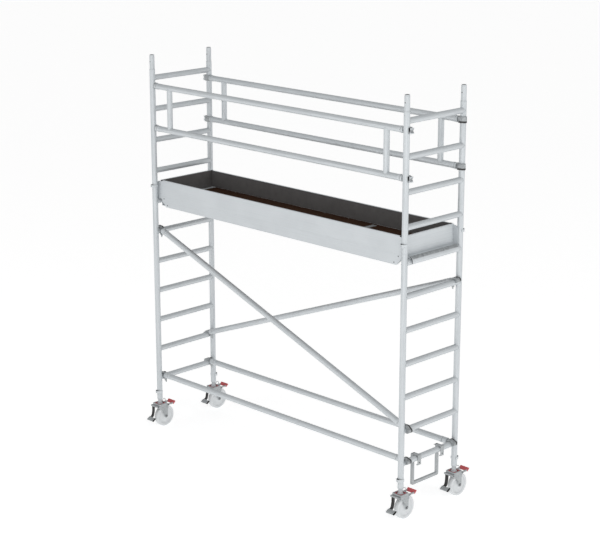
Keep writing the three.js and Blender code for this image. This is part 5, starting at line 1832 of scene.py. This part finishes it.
@dataclass
class ToeBoards:
    """Toe boards: aluminium outside, dark film inside, capped by a light strip."""

    rules: Rules
    skin: float = 0.0012
    cap: float = 0.0022
    plate: float = 0.006
    board: float = 0.015
    hook_radius: float = 0.040

    def _long_board(self, side: str, sign: int) -> None:
        """A long board with its outer skin and cap."""
        node = f"toe_board_{side}"
        low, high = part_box(node)
        outer, inner = (low.y, high.y) if sign < 0 else (high.y, low.y)
        ends, under = (low.x, high.x), high.z - self.cap
        core = Shape(Metal.FILM)
        core.box((low.x + 0.0004, high.x - 0.0004), (outer - sign * self.skin, inner), (low.z, under))
        core.piece(f"{node}_core", TOWER, "toe_board", [node], 0.0006)
        skin = Shape(Metal.PROFILE_X)
        skin.box(ends, (outer, outer - sign * (self.skin - 0.00005)), (low.z, under + 0.0001))
        skin.piece(f"{node}_skin", TOWER, "toe_board", (), 0.0003)
        cap = Shape(Metal.PROFILE_X)
        deep, drop, edge, lip = abs(inner - outer), 0.006, 0.0007, 0.0008
        profile = [
            (0.0, self.cap), (0.0, edge), (edge, 0.0), (deep - edge, 0.0), (deep, edge), (deep, drop),
            (deep - lip, drop), (deep - lip, self.cap),
        ]
        outline = [(outer - sign * inward, high.z - down) for inward, down in profile]
        cap.extrude(outline, *ends, axes(ORIGIN, Y, Z))
        cap.of(Metal.BLACK)
        cover = (outer + sign * 0.0002, inner - sign * 0.0002)
        for x in ((low.x, low.x + 0.016), (high.x - 0.016, high.x)):
            cap.box(x, cover, (high.z - 0.007, high.z + 0.0005))
        cap.piece(f"{node}_cap", slot="aluminium_profile")

    def _end_board(self, end: str, sign: int) -> None:
        """An end board between its two corner plates."""
        node = f"toe_board_{end}"
        low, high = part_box(node)
        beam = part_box("platform_beam_front")
        half_bay = max(abs(low.x), abs(high.x))
        outer, half = half_bay - self.hook_radius, high.y - self.plate
        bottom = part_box("platform_hook_right")[1].z + 0.0003
        wide, under = (-half, half), high.z - self.cap
        core = Shape(Metal.FILM)
        core.box((sign * (outer - self.skin), sign * (outer - self.board)), wide, (bottom, under))
        core.piece(f"{node}_core", TOWER, "toe_board", [node], 0.0006)
        skin = Shape(Metal.PROFILE_Y)
        skin.box((sign * outer, sign * (outer - self.skin + 0.00005)), wide, (bottom, under + 0.0001))
        skin.box((sign * (outer + 0.0035), sign * (outer - 0.0004)), wide, (bottom, bottom + 0.005))
        skin.box((sign * outer, sign * (outer - self.board)), wide, (under, high.z))
        skin.piece(f"{node}_skin", TOWER, "toe_board", (), 0.0005)

        plates = Shape(Metal.PROFILE_X)
        start, top, foot_z = beam[1].x + 0.0003, high.z - 0.010, low.z
        radius = 0.030
        arc_x, arc_z = half_bay - radius, top - radius
        outline = [(start, foot_z), (half_bay, foot_z)]
        outline += arc((arc_x, arc_z), radius, 0, 90, 14) + [(start, top)]
        heads = []
        for way in (-1, 1):
            place = axes(ORIGIN, (sign, 0, 0), Z)
            plates.extrude(outline, -sign * way * half, -sign * way * high.y, place)
            lip, face = (way * (high.y - 0.0005), way * (high.y - 0.0245)), outer + 0.0022
            plates.box((sign * (outer + 0.0002), sign * face), lip, (bottom + 0.008, top - 0.006))
            for z in (bottom + 0.03, (bottom + top) / 2, top - 0.03):
                heads.append((Vector((sign * face, way * (high.y - 0.015), z)), Vector((sign, 0, 0))))
                side = Vector((sign * (start + 0.012), way * (high.y - 0.0001), z))
                heads.append((side, Vector((0, way, 0))))
        plates.piece(f"{node}_corner_plates", slot="aluminium_profile", bevel=0.0009)
        self.rules.rivets(f"{node}_rivets", heads)

    def build(self) -> None:
        """Make the four boards."""
        for side, sign in SIDES.items():
            self._long_board(side, sign)
        for end, sign in ENDS.items():
            self._end_board(end, sign)


@dataclass
class AccessStirrup:
    """The step that hangs from the lowest rung: a bent bar, two straps and their plates."""

    rules: Rules
    bar: float = 0.025
    bar_depth: float = 0.022
    strap_thickness: float = 0.0045
    strap_width: float = 0.042
    strap_drop: float = 0.0858

    def build(self) -> None:
        """Make the bar, the straps, the tread ribs and the bolts."""
        node = "access_stirrup"
        low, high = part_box(node)
        back = low.x
        half, bottom, top = high.y, low.z, high.z
        bend, crook, end = 0.014, 0.003, top - 0.001
        mouth, tread_z = half - self.bar, bottom + self.bar
        outline = [(-half, end)]
        outline += arc((-half + bend, bottom + bend), bend, 180, 270, 8)
        outline += arc((half - bend, bottom + bend), bend, 270, 360, 8)
        outline += [(half, end), (mouth, end)]
        outline += arc((mouth - crook, tread_z + crook), crook, 0, -90, 4)
        outline += arc((-mouth + crook, tread_z + crook), crook, 270, 180, 4)
        outline.append((-mouth, end))
        shape = Shape(Metal.GREY)
        shape.extrude(outline, back, back + self.bar_depth, axes(ORIGIN, Y, Z))
        shape.piece("stirrup_bar", slot="stirrup_metal", replaces=[node], bevel=0.0016)

        straps, heads = Shape(Metal.GREY), []
        front, t, hang = high.x, self.strap_thickness, top - self.strap_drop
        profile = [(back, top - t), (back, top), *near((front, top), (-6, 0), (-1.5, -1.6), (0, -6))]
        profile += [(front, hang), *near((front, hang), (-18, 0)), *near((front, hang + t), (-18, 0))]
        profile += [(front - t, hang + t), *near((front - t, top - t), (0, -2), (-2, 0))]
        for way in (-1, 1):
            y0, y1 = sorted((way * (half - 0.001), way * (half - 0.001 - self.strap_width)))
            straps.extrude(profile, -y1, -y0, axes(ORIGIN, X, Z))
            heads += [(Vector((back + 0.011, y, top)), UP) for y in (y0 + 0.012, y1 - 0.012)]
            heads.append((Vector((front, (y0 + y1) / 2, hang + 0.020)), Vector(X)))
        straps.piece("stirrup_straps", slot="stirrup_metal", bevel=0.0009)
        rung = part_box("lower_frame_right")
        axle = Vector(((rung[0].x + rung[1].x) / 2, 0, top - t - 0.0253))
        # Black pieces inside each strap, between its bend, the rung and the hanging plate: painted shadow of
        # the gap.
        strap_gap_shadow = Shape(Metal.BLACK)
        fill = arc((0, 0), 0.0256, 62, 20, 10) + [(0.0257, 0.0088), (0.0257, 0.0252), (0.0120, 0.0252)]
        for way in (-1, 1):
            ends = (-way * (half - 0.003), -way * (half + 0.001 - self.strap_width))
            strap_gap_shadow.extrude(fill, *ends, axes(axle, X, Z))
        strap_gap_shadow.piece("stirrup_gap_shadow", slot="stirrup_metal")
        self.rules.rivets("stirrup_bolts", heads, Metal.DARK, 0.0058, 0.0022)
        tread = Vector((back + self.bar_depth / 2, -mouth + 0.012, tread_z - 0.0001))
        self.rules.rib_row("stirrup_tread_ribs", TOWER, "stirrup_metal", Metal.GREY, {
            "Count": 33, "Start": tread, "Step": Vector((0, 0.008, 0)), "Along": Vector(X),
            "Radius": 0.0011, "Length": 0.018,
        })


@dataclass
class Studio:
    """A plain pale floor, soft lights and the camera."""

    azimuth: float = 45.02
    elevation: float = 15.52
    distance: float = 14.30
    lens: float = 99.5

    def direction(self, azimuth: float, elevation: float) -> Vector:
        """From the object's middle towards a place round it."""
        a, e = math.radians(azimuth), math.radians(elevation)
        return Vector((math.sin(a) * math.cos(e), -math.cos(a) * math.cos(e), math.sin(e)))

    def _light(self, name: str, azimuth: float, elevation: float, power: float, size: float) -> None:
        """A soft square light that faces the tower's middle."""
        data = bpy.data.lights.new(name, "AREA")
        data.energy, data.shape, data.size = power, "SQUARE", size
        lamp = bpy.data.objects.new(name, data)
        way = self.direction(azimuth, elevation)
        lamp.location = Vector((0, 0, 1.7)) + way * 9.0
        lamp.rotation_mode = "QUATERNION"
        lamp.rotation_quaternion = (-way).to_track_quat("-Z", "Y")
        bpy.context.scene.collection.objects.link(lamp)

    def build(self) -> None:
        """Make the floor, the lights, the sky and the camera."""
        mesh = bpy.data.meshes.new("studio_floor")
        reach = 60.0
        mesh.from_pydata([(-reach, -reach, 0), (reach, -reach, 0), (reach, reach, 0), (-reach, reach, 0)],
                         [], [(0, 1, 2, 3)])
        mesh.materials.append(Metal.FLOOR.make())
        floor = bpy.data.objects.new("studio_floor", mesh)
        bpy.context.scene.collection.objects.link(floor)
        self._light("soft_key", 40.0, 14.0, 150.0, 6.0)
        self._light("soft_side", 100.0, 12.0, 90.0, 6.0)
        self._light("soft_left", -20.0, 12.0, 70.0, 6.0)
        world = bpy.data.worlds.new("studio_sky")
        world.use_nodes = True
        sky = world.node_tree.nodes["Background"]
        sky.inputs["Color"].default_value = (1.0, 1.0, 1.0, 1.0)
        sky.inputs["Strength"].default_value = 0.58
        bpy.context.scene.world = world
        bpy.context.scene.view_settings.view_transform = "Standard"

        low, high = CAD_BOX
        middle = (low + high) / 2
        way = self.direction(self.azimuth, self.elevation)
        data = bpy.data.cameras.new("camera")
        data.lens, data.sensor_width = self.lens, 36.0
        data.clip_end = 200.0
        camera = bpy.data.objects.new("camera", data)
        camera.location = middle + way * self.distance
        camera.rotation_mode = "QUATERNION"
        camera.rotation_quaternion = (-way).to_track_quat("-Z", "Y")
        bpy.context.scene.collection.objects.link(camera)
        bpy.context.scene.camera = camera


def main() -> None:
    """Build the tower from the ground up, then the studio round it."""
    logging.basicConfig(level=logging.INFO, format="%(name)s: %(message)s")
    rules = Rules()
    for end in ENDS:
        for level in ("lower", "upper"):
            LadderFrame(rules, level, end).build()
    for side, sign in SIDES.items():
        for end in ENDS:
            Caster(rules, side, end).build()
            for kind in ("frame_clip", "caster_clip"):
                SpringClip(f"{kind}_{side}_{end}", sign).build()
        Guardrail(rules, side).build()
        Brace(rules, "base_tube", side, 0, 0).build()
        Brace(rules, "diagonal", side, 1, 5).build()
    Platform(rules).build()
    ToeBoards(rules).build()
    AccessStirrup(rules).build()
    Studio().build()


if __name__ == "__main__":
    main()
